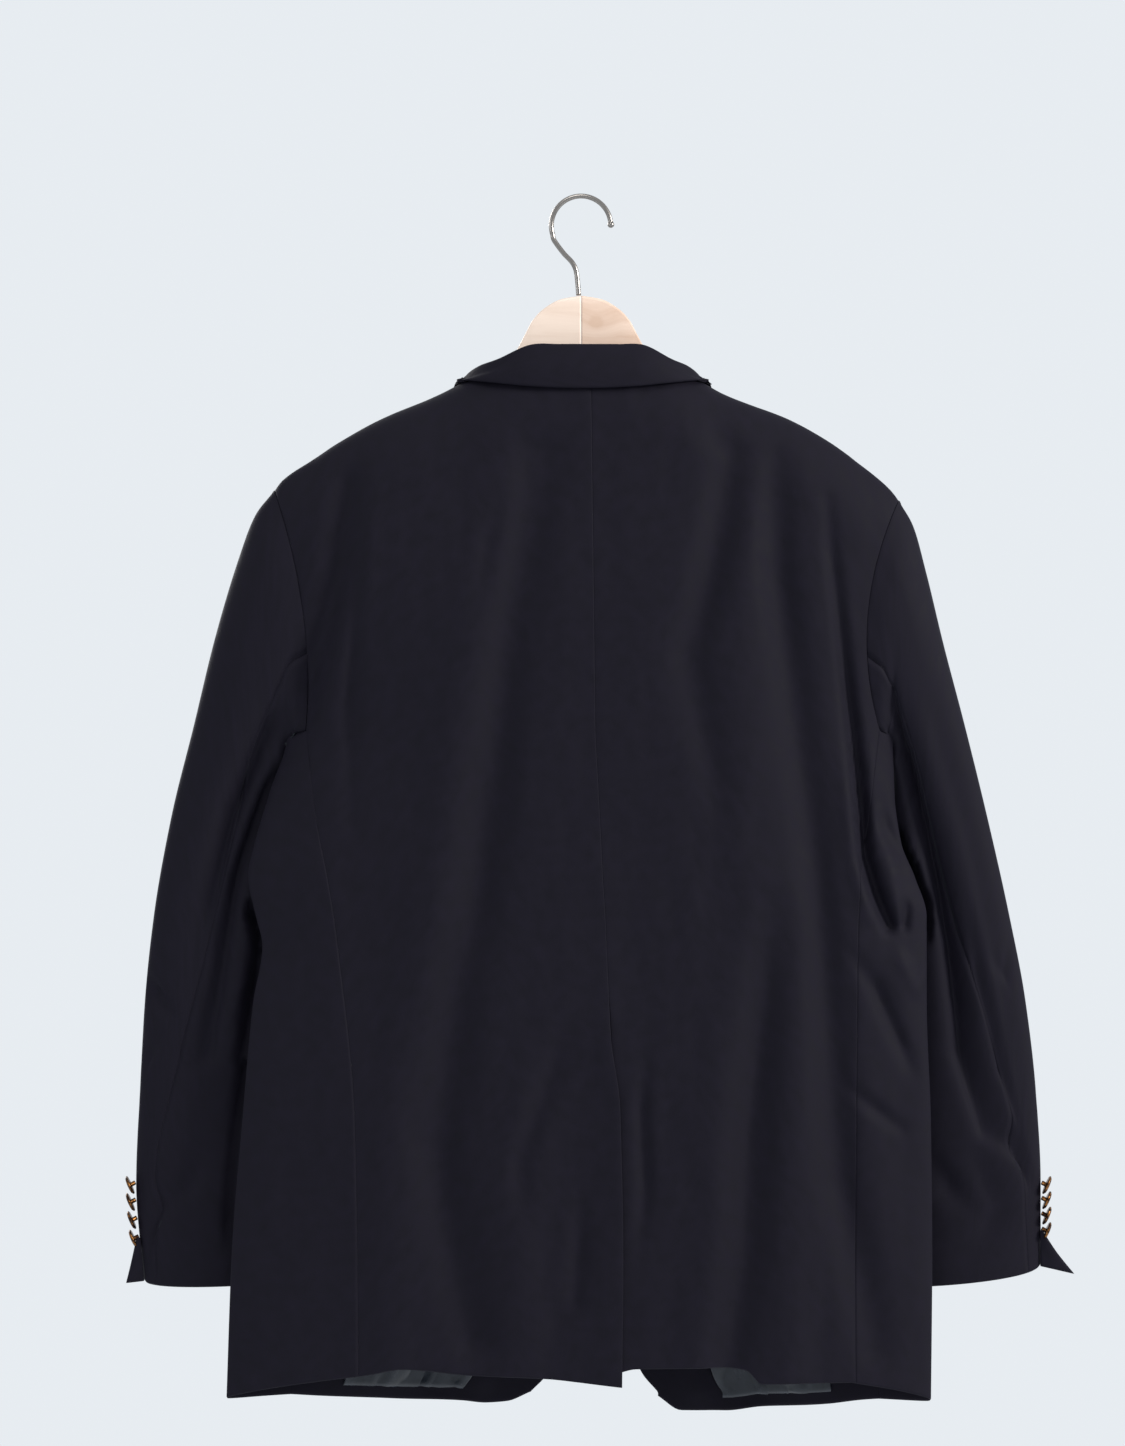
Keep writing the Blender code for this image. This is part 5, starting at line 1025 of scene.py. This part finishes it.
def leaf_section(cut, station):
    """The leaf's cloth at a station, from behind its fold over it to its outer edge."""
    fold, edge = neck_station(cut, station), leaf_edge(cut, station)
    shares = (0.34, 0.67, 1.0)
    if station <= NECK_COLUMNS:
        away = outward_round_neck(cut, station)
        fold = fold + UPWARD * (SEAM_GAP + read(STAND, "rise", station, key="station"))
        across = unit((edge - fold) * (0.35, 0.35, 1.0))
        return np.array(turned_section(fold, UPWARD, across, away, THIN_CLOTH, edge, shares))
    past = min(1.0, (station - NECK_COLUMNS) / 2)
    away = unit(mix(outward_round_neck(cut, NECK_COLUMNS), np.array([0.0, -1.0, 0.0]), past))
    across = unit((edge - fold) * (1, 0, 1))
    if station == GORGE:
        point = np.array([NECK_MIDDLE + cut.sign * LAPEL_POINT[0], fold[1], LAPEL_POINT[1]])
        across = unit(point - fold)
        shares = (0.45, 1.0)
    up = unit(mix(UPWARD, -across, past))
    end = fold + across * GORGE_END if station == GORGE else edge
    points = turned_section(fold, up, across, away, CLOTH, end, shares)
    return np.array(points + [edge] if station == GORGE else points)


def on_top(grid, side, thickness, seats, lift):
    """Moves a grid of cloth off the cloth under it until it stands this far off everywhere."""
    tree = KDTree(sum(len(points) for points, _ in seats))
    flat = np.concatenate([points for points, _ in seats])
    facing = np.concatenate([directions for _, directions in seats])
    for number, point in enumerate(flat):
        tree.insert(point, number)
    tree.balance()
    out = outward(grid, side)
    moved = grid.copy()
    for row, column in np.ndindex(grid.shape[:2]):
        for _ in range(2):
            point = moved[row, column] - out[row, column] * thickness
            _, near, _ = tree.find(point)
            height = (point - flat[near]) @ facing[near]
            if height < lift:
                moved[row, column] += facing[near] * (lift - height)
    return moved


LEAF_STATIONS = (1, 2, 3, 3.5, 4, 4.5, 5, 5.5, 6, 7, GORGE)
seats = []
for cut in SIDES:
    for build, down, side in ((back_grid, np.linspace(0, 0.45, 40), cut.sign),
                              (front_grid, np.linspace(0, 0.75, 70), -cut.sign)):
        grid = build(cut, np.linspace(0, 0.6, 60), down, (0.0, 1.0))[:-1]
        seats.append((grid.reshape(-1, 3), outward(grid, side).reshape(-1, 3)))
leaf = finer(both_sides(leaf_section, LEAF_STATIONS), 260, 34)
leaf[:, 6:] = on_top(leaf, 1, THIN_CLOTH, seats, LAY_GAP)[:, 6:]
sew("collar_leaf", leaf, 1, NAVY, turned=("top", "bottom", "start", "end"),
    thickness=THIN_CLOTH, seed=5)


def stand_section(cut, station):
    rise = read(STAND, "rise", station, key="station")
    foot = neck_station(cut, station) + UPWARD * SEAM_GAP
    return foot + np.linspace(1, 0, 8)[:, None] * (UPWARD * rise)


stand = both_sides(stand_section, np.arange(1, 41) / 10)
sew("collar_stand", stand, 1, NAVY, thickness=THIN_CLOTH)

# ---- lapels
# Each is the front's own facing, worsted like the outside, rolled back from the break and
# pressed softly over the front. Its upper corner is notched against the collar's end.

BREAK = -0.492  # height where the lapels turn over
LAPEL_FOOT_OUT = 0.010  # width of the lapel at the break
LAPEL_BELLY = 0.00672  # how far its edge bows out between the point and the break
LAPEL_SWELL = 0.002
BREAK_ROLL = 0.35  # how much of the roll is left at the break
GORGE_GAP = 0.0006
LAPEL_OFF = 0.0006  # how far it stands off the front, beyond the gap


def lapel_grid(cut, count):
    """Rows run down the roll line from the gorge to the break."""
    top = FINE_FRONT[cut.name][GORGE - NECK_COLUMNS][2]
    point = np.array([NECK_MIDDLE + cut.sign * LAPEL_POINT[0], LAPEL_POINT[1]])
    foot = np.array([float(front_inner_x(cut, BREAK)) + cut.sign * LAPEL_FOOT_OUT, BREAK - 0.002])
    away = np.array([0.0, -1.0, 0.0])
    rows = []
    for share in np.linspace(0, 1, count):
        z = mix(top, BREAK, share)
        x = float(front_inner_x(cut, z))
        fold = np.array([x, float(front_y(cut, x, z)), z])
        out = mix(point, foot, share)
        out = out + cut.sign * LAPEL_BELLY * math.sin(math.pi * share) * np.array([1.0, 0.0])
        gap = -GORGE_GAP * (1 - smooth_step(0.0, 0.03, share))
        fold, out = fold + (0, 0, gap), out + (0, gap)
        roll = mix(1.0, BREAK_ROLL, share)
        lift = LAY_GAP + THIN_CLOTH + LAPEL_OFF
        edge = np.array([out[0], float(front_y(cut, out[0], out[1])) - lift, out[1]])
        across = unit((edge - fold) * (1, 0, 1))
        back = fold - across * (LAY_GAP + THIN_CLOTH) - away * CLOTH
        top_of_roll = fold - across * (LAY_GAP + THIN_CLOTH) + away * (LAY_GAP + THIN_CLOTH * 0.8)
        near = fold + across * min(ROLL_IN, np.linalg.norm((edge - fold)[[0, 2]]) * 0.4)
        section = [back, top_of_roll]
        for part in np.linspace(0, 1, 8):
            at = mix(near, edge, part)
            off = lift + (ROLL_OUT + LAPEL_SWELL * math.sin(math.pi * part)) * roll * (1 - part)
            at[1] = float(front_y(cut, at[0], at[2])) - off
            section.append(at)
        rows.append(curve(section, np.linspace(0, len(section) - 1, 40)))
    return np.array(rows)


for cut in SIDES:
    grid = lapel_grid(cut, 130)
    front = front_grid(
        cut, np.linspace(0, 0.75, 80), np.linspace(0.1, 1, 70), np.linspace(0, 0.3, 40))
    seat = (front.reshape(-1, 3), outward(front, -cut.sign).reshape(-1, 3))
    grid[:, 12:] = on_top(grid, -cut.sign, THIN_CLOTH, [seat], LAY_GAP)[:, 12:]
    sew("lapel_" + cut.name, grid, -cut.sign, NAVY, turned=("top", "bottom", "end"),
        thickness=THIN_CLOTH, seed=7, rests_on=("front_" + cut.name,))

# ---- pocket flaps
# A straight worsted flap with rounded lower corners on each front, lined and turned, its top
# sewn into the jetted mouth of a pocket. It lies flat on the front and hides the pocket.

FLAP_DOWN = (0.497, 0.609)  # its top and foot, as shares of the skirt
FLAP_ACROSS = (0.40, 0.96)  # its ends, as shares of the front's width
FLAP_ROUND = (0.05, 0.022)  # of its corners, across and down


def cloth_at(panel, cut, downs, acrosses, half):
    """Points of a panel; half says whether downs are shares of its armhole or of its skirt."""
    build = back_grid if panel == "back" else front_grid
    whole = (0.0, *acrosses)
    if half == "armhole":
        return build(cut, np.array(whole), downs, (0.0, 1.0))[:-1, 1:]
    return build(cut, np.array(whole), (0.0, 1.0), (0.0, *downs))[2:, 1:]


def laid_on(name, grid, side, thickness, material, inward=False, **more):
    """Sews a piece from a panel's own points, moved out off it, or in behind its wall."""
    away = outward(grid, side) * (-1 if inward else 1)
    face = grid + away * (LAY_GAP + thickness + (CLOTH if inward else 0.0))
    sew(name, face, side * (-1 if inward else 1), material, thickness=thickness, **more)


def corners_off(acrosses, downs, round_across, round_down):
    """A block of shares whose two lower corners are rounded."""
    left, right = acrosses[0], acrosses[-1]
    rise = np.clip((downs - (downs[-1] - round_down)) / round_down, 0, 1)
    inset = round_across * (1 - np.sqrt(1 - rise**2))
    share = (acrosses - left) / (right - left)
    return (left + inset[:, None]) + (right - left - 2 * inset[:, None]) * share


for cut in SIDES:
    downs = np.linspace(*FLAP_DOWN, 34)
    acrosses = corners_off(np.linspace(*FLAP_ACROSS, 72), downs, *FLAP_ROUND)
    flap = np.array([
        cloth_at("front", cut, (down,), row, "skirt")[0] for down, row in zip(downs, acrosses)
    ])
    laid_on("pocket_flap_" + cut.name, flap, -cut.sign, THIN_CLOTH, NAVY,
            turned=("start", "end", "bottom"), seams=("top",), seed=3,
            rests_on=("front_" + cut.name,))

# ---- breast welt
# A slanting band of worsted, folded double, its lower edge sewn into the cut of the breast
# pocket on the wearer's left front and its ends stitched down.

WELT_ACROSS = (0.46, 0.87)
WELT_DOWN = (0.5216, 0.6224)  # as shares of the armhole
WELT_SLANT = 0.072

downs = np.linspace(*WELT_DOWN, 16)
welt = np.stack([
    cloth_at("front", LEFT, downs - WELT_SLANT * share, (across,), "armhole")[:, 0]
    for across, share in zip(np.linspace(*WELT_ACROSS, 60), np.linspace(0, 1, 60))
], axis=1)
laid_on("breast_welt", welt, -1, THIN_CLOTH, NAVY, turned=("top", "start", "end"),
        seams=("bottom",), rests_on=("front_left",))

# ---- vent underlap
# The right back's extension, cut in one with it, which lies behind the left back's free edge
# so that the vent stays closed while the coat hangs.

vent = cloth_at("back", LEFT, np.linspace(0.42, 1.0, 110), np.linspace(0, 0.2, 18), "skirt")
laid_on("vent_underlap", vent, 1, CLOTH, NAVY, inward=True, turned=("bottom", "start"), seed=13,
        rests_on=("back_left",))

# ---- lining
# Dark satin, felled by hand just above the hem inside each front. Only the strip that shows
# below the back's hem is made; it lies loose and wrinkled, and its folds catch the light.

LINING_CLOTH = 0.0010
SHINE = cloth_material(
    "bright lining", (0.0085, 0.0115, 0.0165), (0.020, 0.024, 0.033), 0.24, 0.0, 0.00022, 0.012,
    shine=0.30)
LINING_LAY = (-0.0003, 0.0030)  # how far its wrinkles may go in and out

for cut in SIDES:
    lining = cloth_at(
        "front", cut, np.linspace(0.77, 0.984, 60), np.linspace(0.3, 0.8, 90), "skirt")
    across, down = lengths(lining, 1), lengths(lining, 0)
    wrinkle = 0.0024 * stir(across + 0.35 * down, down, 0.011, 0.030, 77)
    wrinkle = wrinkle + 0.0006 * stir(across, down, 0.006, 0.02, 5)
    lining = lining + outward(lining, cut.sign) * np.clip(wrinkle, *LINING_LAY)[..., None]
    laid_on("lining_" + cut.name, lining, -cut.sign, LINING_CLOTH, SHINE, inward=True,
            turned=("bottom",), slot="lining_satin", rests_on=("front_" + cut.name,))

# ---- cuff vents
# Below the buttons the top sleeve's corner is left open as a vent. Its edge, worsted turned
# over, stands out from the cuff by its own stiffness.

FlapRow = namedtuple("FlapRow", "along left_out right_out")
CUFF_FLAP = [FlapRow(*row) for row in (  # how far the turned-out corner stands off the sleeve
    (0.955, 0.0030, 0.0022), (0.975, 0.0080, 0.0120), (0.998, 0.0140, 0.0260),
)]
FLAP_FALL = {"left": 0.10, "right": 0.22}  # how far it drops for each metre it stands out
VENT_TURN = 14.0  # degrees round the sleeve from its outer edge

for cut in SIDES:
    rows = []
    for along in np.linspace(CUFF_FLAP[0].along, CUFF_FLAP[-1].along, 22):
        root = sleeve_ellipse(cut, along, np.array([VENT_TURN]))[0]
        root = root + (cut.sign * 0.0014, 0.0, 0.0)
        out = float(read(CUFF_FLAP, cut.name + "_out", along, key="along"))
        share = np.linspace(0, 1, 12)[:, None]
        bow = np.array([0.0, 0.0009, 0.0]) * np.sin(math.pi * share)
        over = np.array([cut.sign * out, 0.002, -FLAP_FALL[cut.name] * out])
        rows.append(root + share * over + bow)
    grid = np.array(rows) + (0.0, CLOTH / 2, 0.0)
    sew("cuff_flap_" + cut.name, grid, cut.sign, NAVY, turned=("end", "bottom"),
        rests_on=("top_sleeve_" + cut.name,))

# ---- buttons
# Domed shank buttons, cast and gilt, with painted shade darkening them to near black in random
# patches. Two are sewn to the front by their shanks, and four overlap like shingles on each cuff.

ButtonSize = namedtuple("ButtonSize", "radius thickness shank_radius shank_length")
FRONT_BUTTON = ButtonSize(0.0105, 0.0034, 0.0022, 0.0026)
CUFF_BUTTON = ButtonSize(0.0074, 0.0028, 0.0017, 0.0040)
BUTTON_GAP = 0.0004  # between a shank's foot and its cloth
BUTTON_SIDES = 56
FRONT_BUTTON_HEIGHTS = (-0.515, -0.625)
CUFF_BUTTONS_ALONG = (0.8990, 0.9175, 0.9360, 0.9545)
CUFF_BUTTON_TURN = 8.0  # degrees round the sleeve from its outer edge
CUFF_BUTTON_TILT = -24.0


def smooth_mesh(name, points, faces, material):
    """A hard piece, smooth but for the two flat faces that close its ends."""
    mesh = bpy.data.meshes.new("made_" + name)
    mesh.from_pydata(np.asarray(points, float).tolist(), [], faces)
    mesh.materials.append(material)
    mesh.shade_smooth()
    mesh.polygons[-1].use_smooth = mesh.polygons[-2].use_smooth = False
    in_place(name, mesh)


def band(first, second, count):
    return [
        (first + k, first + (k + 1) % count, second + (k + 1) % count, second + k)
        for k in range(count)
    ]


def rings_closed(rings, count):
    """Faces of a row of rings of points, its two ends closed."""
    faces = []
    for ring in range(rings - 1):
        faces += band(ring * count, (ring + 1) * count, count)
    return faces + [tuple(reversed(range(count))), tuple(range((rings - 1) * count, rings * count))]


GOLD, shader, add = nodes_of("gilt with painted shade")
place = add("TexCoord").outputs["Object"]
wear = add("TexNoise", i0=place, Scale=900.0, Detail=3.0, Roughness=0.6).outputs[0]
# painted shade: this noise marks random patches where the gilt is darkened to near black
hollow = add("TexNoise", i0=place, Scale=420.0, Detail=2.0).outputs[0]
painted_shade_mask = add("MapRange", i0=hollow, i1=0.46, i2=0.66, i3=0.0, i4=1.0).outputs[0]
colour = add("Mix", {"data_type": "RGBA"},
             i0=painted_shade_mask, i6=(0.022, 0.010, 0.006, 1), i7=(0.26, 0.115, 0.035, 1)).outputs[2]
rough = add("MapRange", i0=wear, i1=0.3, i2=0.7, i3=0.24, i4=0.46).outputs[0]
bump = add("Bump", Height=wear, Strength=0.25, Distance=0.0002).outputs[0]
feed(shader, {"Base Color": colour, "Roughness": rough, "Normal": bump, "Metallic": 1.0})


def button(name, seat, off, tilt, size):
    """A domed disc turned with its shank. off points off the cloth; tilt tips it up, in degrees."""
    r, foot, rim = size.radius, size.shank_length, size.shank_length + size.thickness
    profile = [  # radius and distance off the cloth
        (size.shank_radius * 0.7, BUTTON_GAP), (size.shank_radius, BUTTON_GAP + 0.0002),
        (size.shank_radius, foot - 0.0003), (size.shank_radius * 1.4, foot), (r * 0.90, foot),
        (r * 0.97, foot + 0.00025), (r, foot + 0.0007), (r * 0.985, foot + 0.0012),
        (r * 0.95, foot + 0.0015), (r * 0.915, foot + 0.00152), (r * 0.895, foot + 0.00135),
        (r * 0.87, foot + 0.00145),
    ]
    for share in np.linspace(0.83, 0.06, 12):
        dome = math.sqrt(1 - share**2) ** 1.3
        profile.append((r * share, foot + 0.0015 + (rim - foot - 0.0015) * dome))
    level = unit(np.cross((0.0, 0.0, 1.0), off))
    tipped = unit(off + np.array([0.0, 0.0, math.tan(math.radians(tilt))]))
    upward = np.cross(tipped, level)
    points = []
    for radius, distance in profile:
        centre = seat + (off if distance < foot * 0.4 else tipped) * distance
        for k in range(BUTTON_SIDES):
            angle = 2 * math.pi * k / BUTTON_SIDES
            points.append(centre + (level * math.cos(angle) + upward * math.sin(angle)) * radius)
    smooth_mesh(name, points, rings_closed(len(profile), BUTTON_SIDES), GOLD)


for number, height in enumerate(FRONT_BUTTON_HEIGHTS, 1):
    x = float(centre_x(height))
    seat = np.array([x, float(front_y(LEFT, x, height)), height])
    button("front_button_%d" % number, seat, np.array([0.0, -1.0, 0.0]), 0.0, FRONT_BUTTON)

for cut in SIDES:
    for number, along in enumerate(CUFF_BUTTONS_ALONG, 1):
        off = np.array([cut.sign, 0.0, 0.0])
        seat = sleeve_ellipse(cut, along, np.array([CUFF_BUTTON_TURN]))[0] + off * 0.0007
        button("cuff_button_%s_%d" % (cut.name, number), seat, off, CUFF_BUTTON_TILT, CUFF_BUTTON)

# ---- hanger
# Two flat maple boards glued end to end at the middle, sawn to a dome and two arms, their edges
# eased and waxed. The wearer's left half is cream, the other a pinker board with a small knot.

HANGER_HALF = 0.0060  # half the boards' thickness
HANGER_EASE = 0.0020
HANGER_MIDDLE = -0.0008
ArmRow = namedtuple("ArmRow", "out top depth")
ARM = [ArmRow(*row) for row in (  # out from the middle, round the dome to the neck of the coat
    (0.0000, -0.0741, 0.0800), (0.0150, -0.0767, 0.0780),
    (0.0280, -0.0837, 0.0730), (0.0370, -0.0930, 0.0660),
    (0.0430, -0.1043, 0.0560), (0.0500, -0.1170, 0.0450),
    (0.0590, -0.1285, 0.0360), (0.0700, -0.1375, 0.0310),
)]
ARM_SIT = 0.0046  # the arm's top below the shoulder line
ARM_FALL = 0.0062  # and this much more at its end, where the cloth curves in
ARM_STATIONS = (0.084, 0.100, 0.118, 0.136, 0.154, 0.172, 0.188, 0.200, 0.207, 0.210)
ARM_DEPTHS = (0.0300, 0.0295, 0.0290, 0.0280, 0.0270, 0.0260, 0.0245, 0.0220, 0.0170, 0.0090)

GRAIN, given, add, put_out = effect_group(
    "wood grain",
    {"Place": "Vector", "Pale": "Color", "Dark": "Color", "Knot": "Float"},
    {"Colour": "Color", "Roughness": "Float", "Fleck": "Float"})
board = add(
    "VectorMath", {"operation": "MULTIPLY"}, i0=given["Place"], i1=(9.0, 60.0, 95.0)).outputs[0]
grain = add("TexNoise", i0=board, Scale=1.0, Detail=5.0, Roughness=0.62, Distortion=0.6).outputs[0]
fleck = add("VectorMath", {"operation": "MULTIPLY"},
            i0=given["Place"], i1=(220.0, 500.0, 1500.0)).outputs[0]
fleck = add("TexNoise", i0=fleck, Scale=1.0, Detail=2.0).outputs[0]
shade = add("MapRange", i0=grain, i1=0.36, i2=0.70, i3=0.0, i4=1.0).outputs[0]
shade = add("Math", {"operation": "MULTIPLY_ADD"}, i0=fleck, i1=0.22, i2=shade).outputs[0]
shade = add("Math", {"operation": "ADD"}, i0=shade, i1=given["Knot"]).outputs[0]
colour = add("Mix", {"data_type": "RGBA"}, i0=shade, i6=given["Pale"], i7=given["Dark"]).outputs[2]
rough = add("MapRange", i0=grain, i1=0.3, i2=0.7, i3=0.42, i4=0.56).outputs[0]
put_out(colour, rough, fleck)


def wood(name, pale, dark, knot=None):
    """Maple with its own colours, and with its grain bent round a knot where it has one."""
    made, shader, add = nodes_of(name)
    place, core = add("TexCoord").outputs["Object"], 0.0
    if knot:
        away = add("VectorMath", {"operation": "DISTANCE"}, i0=place, i1=knot).outputs["Value"]
        swell = add("MapRange", i0=away, i1=0.0, i2=0.020, i3=0.008, i4=0.0).outputs[0]
        push = add("CombineXYZ", Z=swell).outputs[0]
        place = add("VectorMath", {"operation": "ADD"}, i0=place, i1=push).outputs[0]
        core = add("MapRange", i0=away, i1=0.0005, i2=0.0065, i3=0.75, i4=0.0).outputs[0]
    board = add("Group", {"node_tree": GRAIN},
                Place=place, Pale=(*pale, 1), Dark=(*dark, 1), Knot=core).outputs
    bump = add("Bump", Height=board["Fleck"], Strength=0.2, Distance=0.0002).outputs[0]
    feed(shader, {
        "Base Color": board["Colour"], "Roughness": board["Roughness"], "Normal": bump})
    return made


MAPLE = {
    "left": wood("cream maple", (0.678, 0.552, 0.464), (0.602, 0.470, 0.383)),
    "right": wood(
        "pink maple", (0.620, 0.473, 0.381), (0.509, 0.356, 0.266), knot=(-0.012, 0.006, -0.094)),
}

for cut in SIDES:
    outs = [row.out for row in ARM] + list(ARM_STATIONS)
    tops, depths = [row.top for row in ARM], [row.depth for row in ARM] + list(ARM_DEPTHS)
    for out in ARM_STATIONS:
        x = HANGER_MIDDLE + cut.sign * out
        fall = ARM_FALL * float(smooth_step(0.13, 0.21, out))
        tops.append(float(shoulder_z(cut, x)) - ARM_SIT - fall)
    fine = np.unique(np.concatenate((np.linspace(0.0001, 0.0600, 46), np.linspace(0.06, 0.21, 60))))
    points = []
    for out, top, depth in zip(fine, through(outs, tops, fine), through(outs, depths, fine)):
        x = HANGER_MIDDLE + cut.sign * out
        half = min(depth / 2, HANGER_EASE)
        upper, lower = top - half, top - depth + half
        for way, z, start in ((1, upper, 0), (-1, upper, 90), (-1, lower, 180), (1, lower, 270)):
            for turn in np.radians(np.linspace(start, start + 90, 6)):
                y = way * (HANGER_HALF - HANGER_EASE) + math.cos(turn) * HANGER_EASE
                points.append((x, y, z + math.sin(turn) * half))
    faces = rings_closed(len(fine), 24)
    if cut is RIGHT:
        faces = [face[::-1] for face in faces]
    smooth_mesh("hanger_" + cut.name, points, faces, MAPLE[cut.name])

# ---- hook
# One bent steel wire, nickel-plated and brushed, with a small round ball at its free end. The
# other end runs down into a hole in the top of the boards' dome, where it is fixed.

WIRE_RADIUS = 0.0019
WIRE_SIDES = 20
HOOK_RADIUS = 0.0226
HOOK_CENTRE = (-0.0008, -0.0207)
HOOK_START, HOOK_END = 6.0, 197.0  # degrees round the crown, from its ball to its neck
HOOK_BALL = 0.0026
NeckPoint = namedtuple("NeckPoint", "x height")
HOOK_NECK = [NeckPoint(*row) for row in (  # from the crown's end down to the wood
    (0.0195, -0.0320), (0.0125, -0.0415), (0.0060, -0.0485),
    (0.0030, -0.0550), (0.0018, -0.0640), (0.0010, -0.0737),
)]

NICKEL, shader, add = nodes_of("brushed nickel")
place = add("TexCoord").outputs["Object"]
brushed = add("Mapping", i0=place, i3=(2600.0, 2600.0, 700.0)).outputs[0]
brushed = add("TexNoise", i0=brushed, Scale=1.0, Detail=2.0).outputs[0]
colour = add("Mix", {"data_type": "RGBA"},
             i0=brushed, i6=(0.20, 0.185, 0.17, 1), i7=(0.27, 0.25, 0.235, 1)).outputs[2]
rough = add("MapRange", i0=brushed, i1=0.3, i2=0.7, i3=0.20, i4=0.30).outputs[0]
bump = add("Bump", Height=brushed, Strength=0.08, Distance=0.00005).outputs[0]
feed(shader, {"Base Color": colour, "Roughness": rough, "Normal": bump, "Metallic": 1.0})

crown = np.radians(np.linspace(HOOK_START, HOOK_END, 90))
path = np.stack((HOOK_CENTRE[0] - HOOK_RADIUS * np.cos(crown), 0 * crown,
                 HOOK_CENTRE[1] + HOOK_RADIUS * np.sin(crown)), 1)
neck = np.array([path[-1]] + [(point.x, 0.0, point.height) for point in HOOK_NECK])
path = np.concatenate((path, curve(neck, np.linspace(0, len(neck) - 1, 50))[1:]))
radii = np.full(len(path), WIRE_RADIUS)
back = unit(path[0] - path[1])
swell = np.radians(np.linspace(8, 132, 12))
ball = path[0] + back * (HOOK_BALL * 0.55 + HOOK_BALL * np.cos(swell))[:, None]
path = np.concatenate((ball, path))
radii = np.concatenate((HOOK_BALL * np.sin(swell), radii))
points = []
for k, centre in enumerate(path):
    run = unit(path[min(k + 1, len(path) - 1)] - path[max(k - 1, 0)])
    beside = np.cross(run, (0.0, 1.0, 0.0))
    for turn in 2 * math.pi * np.arange(WIRE_SIDES) / WIRE_SIDES:
        spoke = np.array([0, math.cos(turn), 0]) + beside * math.sin(turn)
        points.append(centre + spoke * radii[k])
smooth_mesh("hook", points, rings_closed(len(path), WIRE_SIDES), NICKEL)

# ---- floor, light and camera
# A plain pale floor and sky, one soft key lamp from the camera's right, weaker ones to fill, and
# one for the coat's front. The camera stands far behind the coat's back, level with its middle.

floor_mesh = bpy.data.meshes.new("floor")
turns = [2 * math.pi * k / 96 for k in range(96)]
floor_mesh.from_pydata([(7 * math.cos(t), 7 * math.sin(t), -1.9) for t in turns], [], [range(96)])
floor = bpy.data.objects.new("floor", floor_mesh)
bpy.context.collection.objects.link(floor)
made, shader, _ = nodes_of("floor")
feed(shader, {"Base Color": (0.80, 0.83, 0.86, 1), "Roughness": 0.9})
floor_mesh.materials.append(made)

world = bpy.data.worlds.new("studio")
world.use_nodes = True
feed(world.node_tree.nodes["Background"], {"Color": (0.80, 0.84, 0.88, 1), "Strength": 1.0})
bpy.context.scene.world = world
bpy.context.scene.view_settings.view_transform = "Standard"


def lamp(name, place, aim, size, power, colour):
    light = bpy.data.lights.new(name, "AREA")
    light.size, light.energy, light.color = size, power, colour
    holder = bpy.data.objects.new(name, light)
    holder.location = place
    direction = np.array(aim) - np.array(place)
    flat = math.hypot(direction[0], direction[1])
    turn = math.atan2(direction[1], direction[0]) - math.pi / 2
    holder.rotation_euler = (math.pi / 2 + math.atan2(direction[2], flat), 0.0, turn)
    bpy.context.collection.objects.link(holder)


lamp("key", (-3.0, 1.3, 0.7), (0, 0, -0.45), 0.8, 128, (1.0, 0.98, 0.95))
lamp("fill", (3.2, 1.9, 0.3), (0, 0, -0.45), 1.2, 20, (0.92, 0.96, 1.0))
lamp("top", (0.3, 1.6, 1.9), (0, 0, -0.1), 1.2, 26, (1.0, 0.99, 0.97))
lamp("front key", (2.2, -2.6, 0.9), (0, 0, -0.45), 1.4, 70, (1.0, 0.98, 0.95))

DISTANCE = 4.4  # far enough off that the coat's depth hardly changes its outline
MIDDLE = (0.0133, -0.3986)
TALL = 1.099  # height of the picture at the coat
SENSOR = 24
camera = bpy.data.cameras.new("camera")
camera.sensor_fit, camera.sensor_height = "VERTICAL", SENSOR
camera.lens = SENSOR * DISTANCE / TALL
viewer = bpy.data.objects.new("camera", camera)
viewer.location = (MIDDLE[0], DISTANCE, MIDDLE[1])
viewer.rotation_euler = (math.pi / 2, 0, math.pi)
bpy.context.collection.objects.link(viewer)
bpy.context.scene.camera = viewer

bpy.context.view_layer.update()
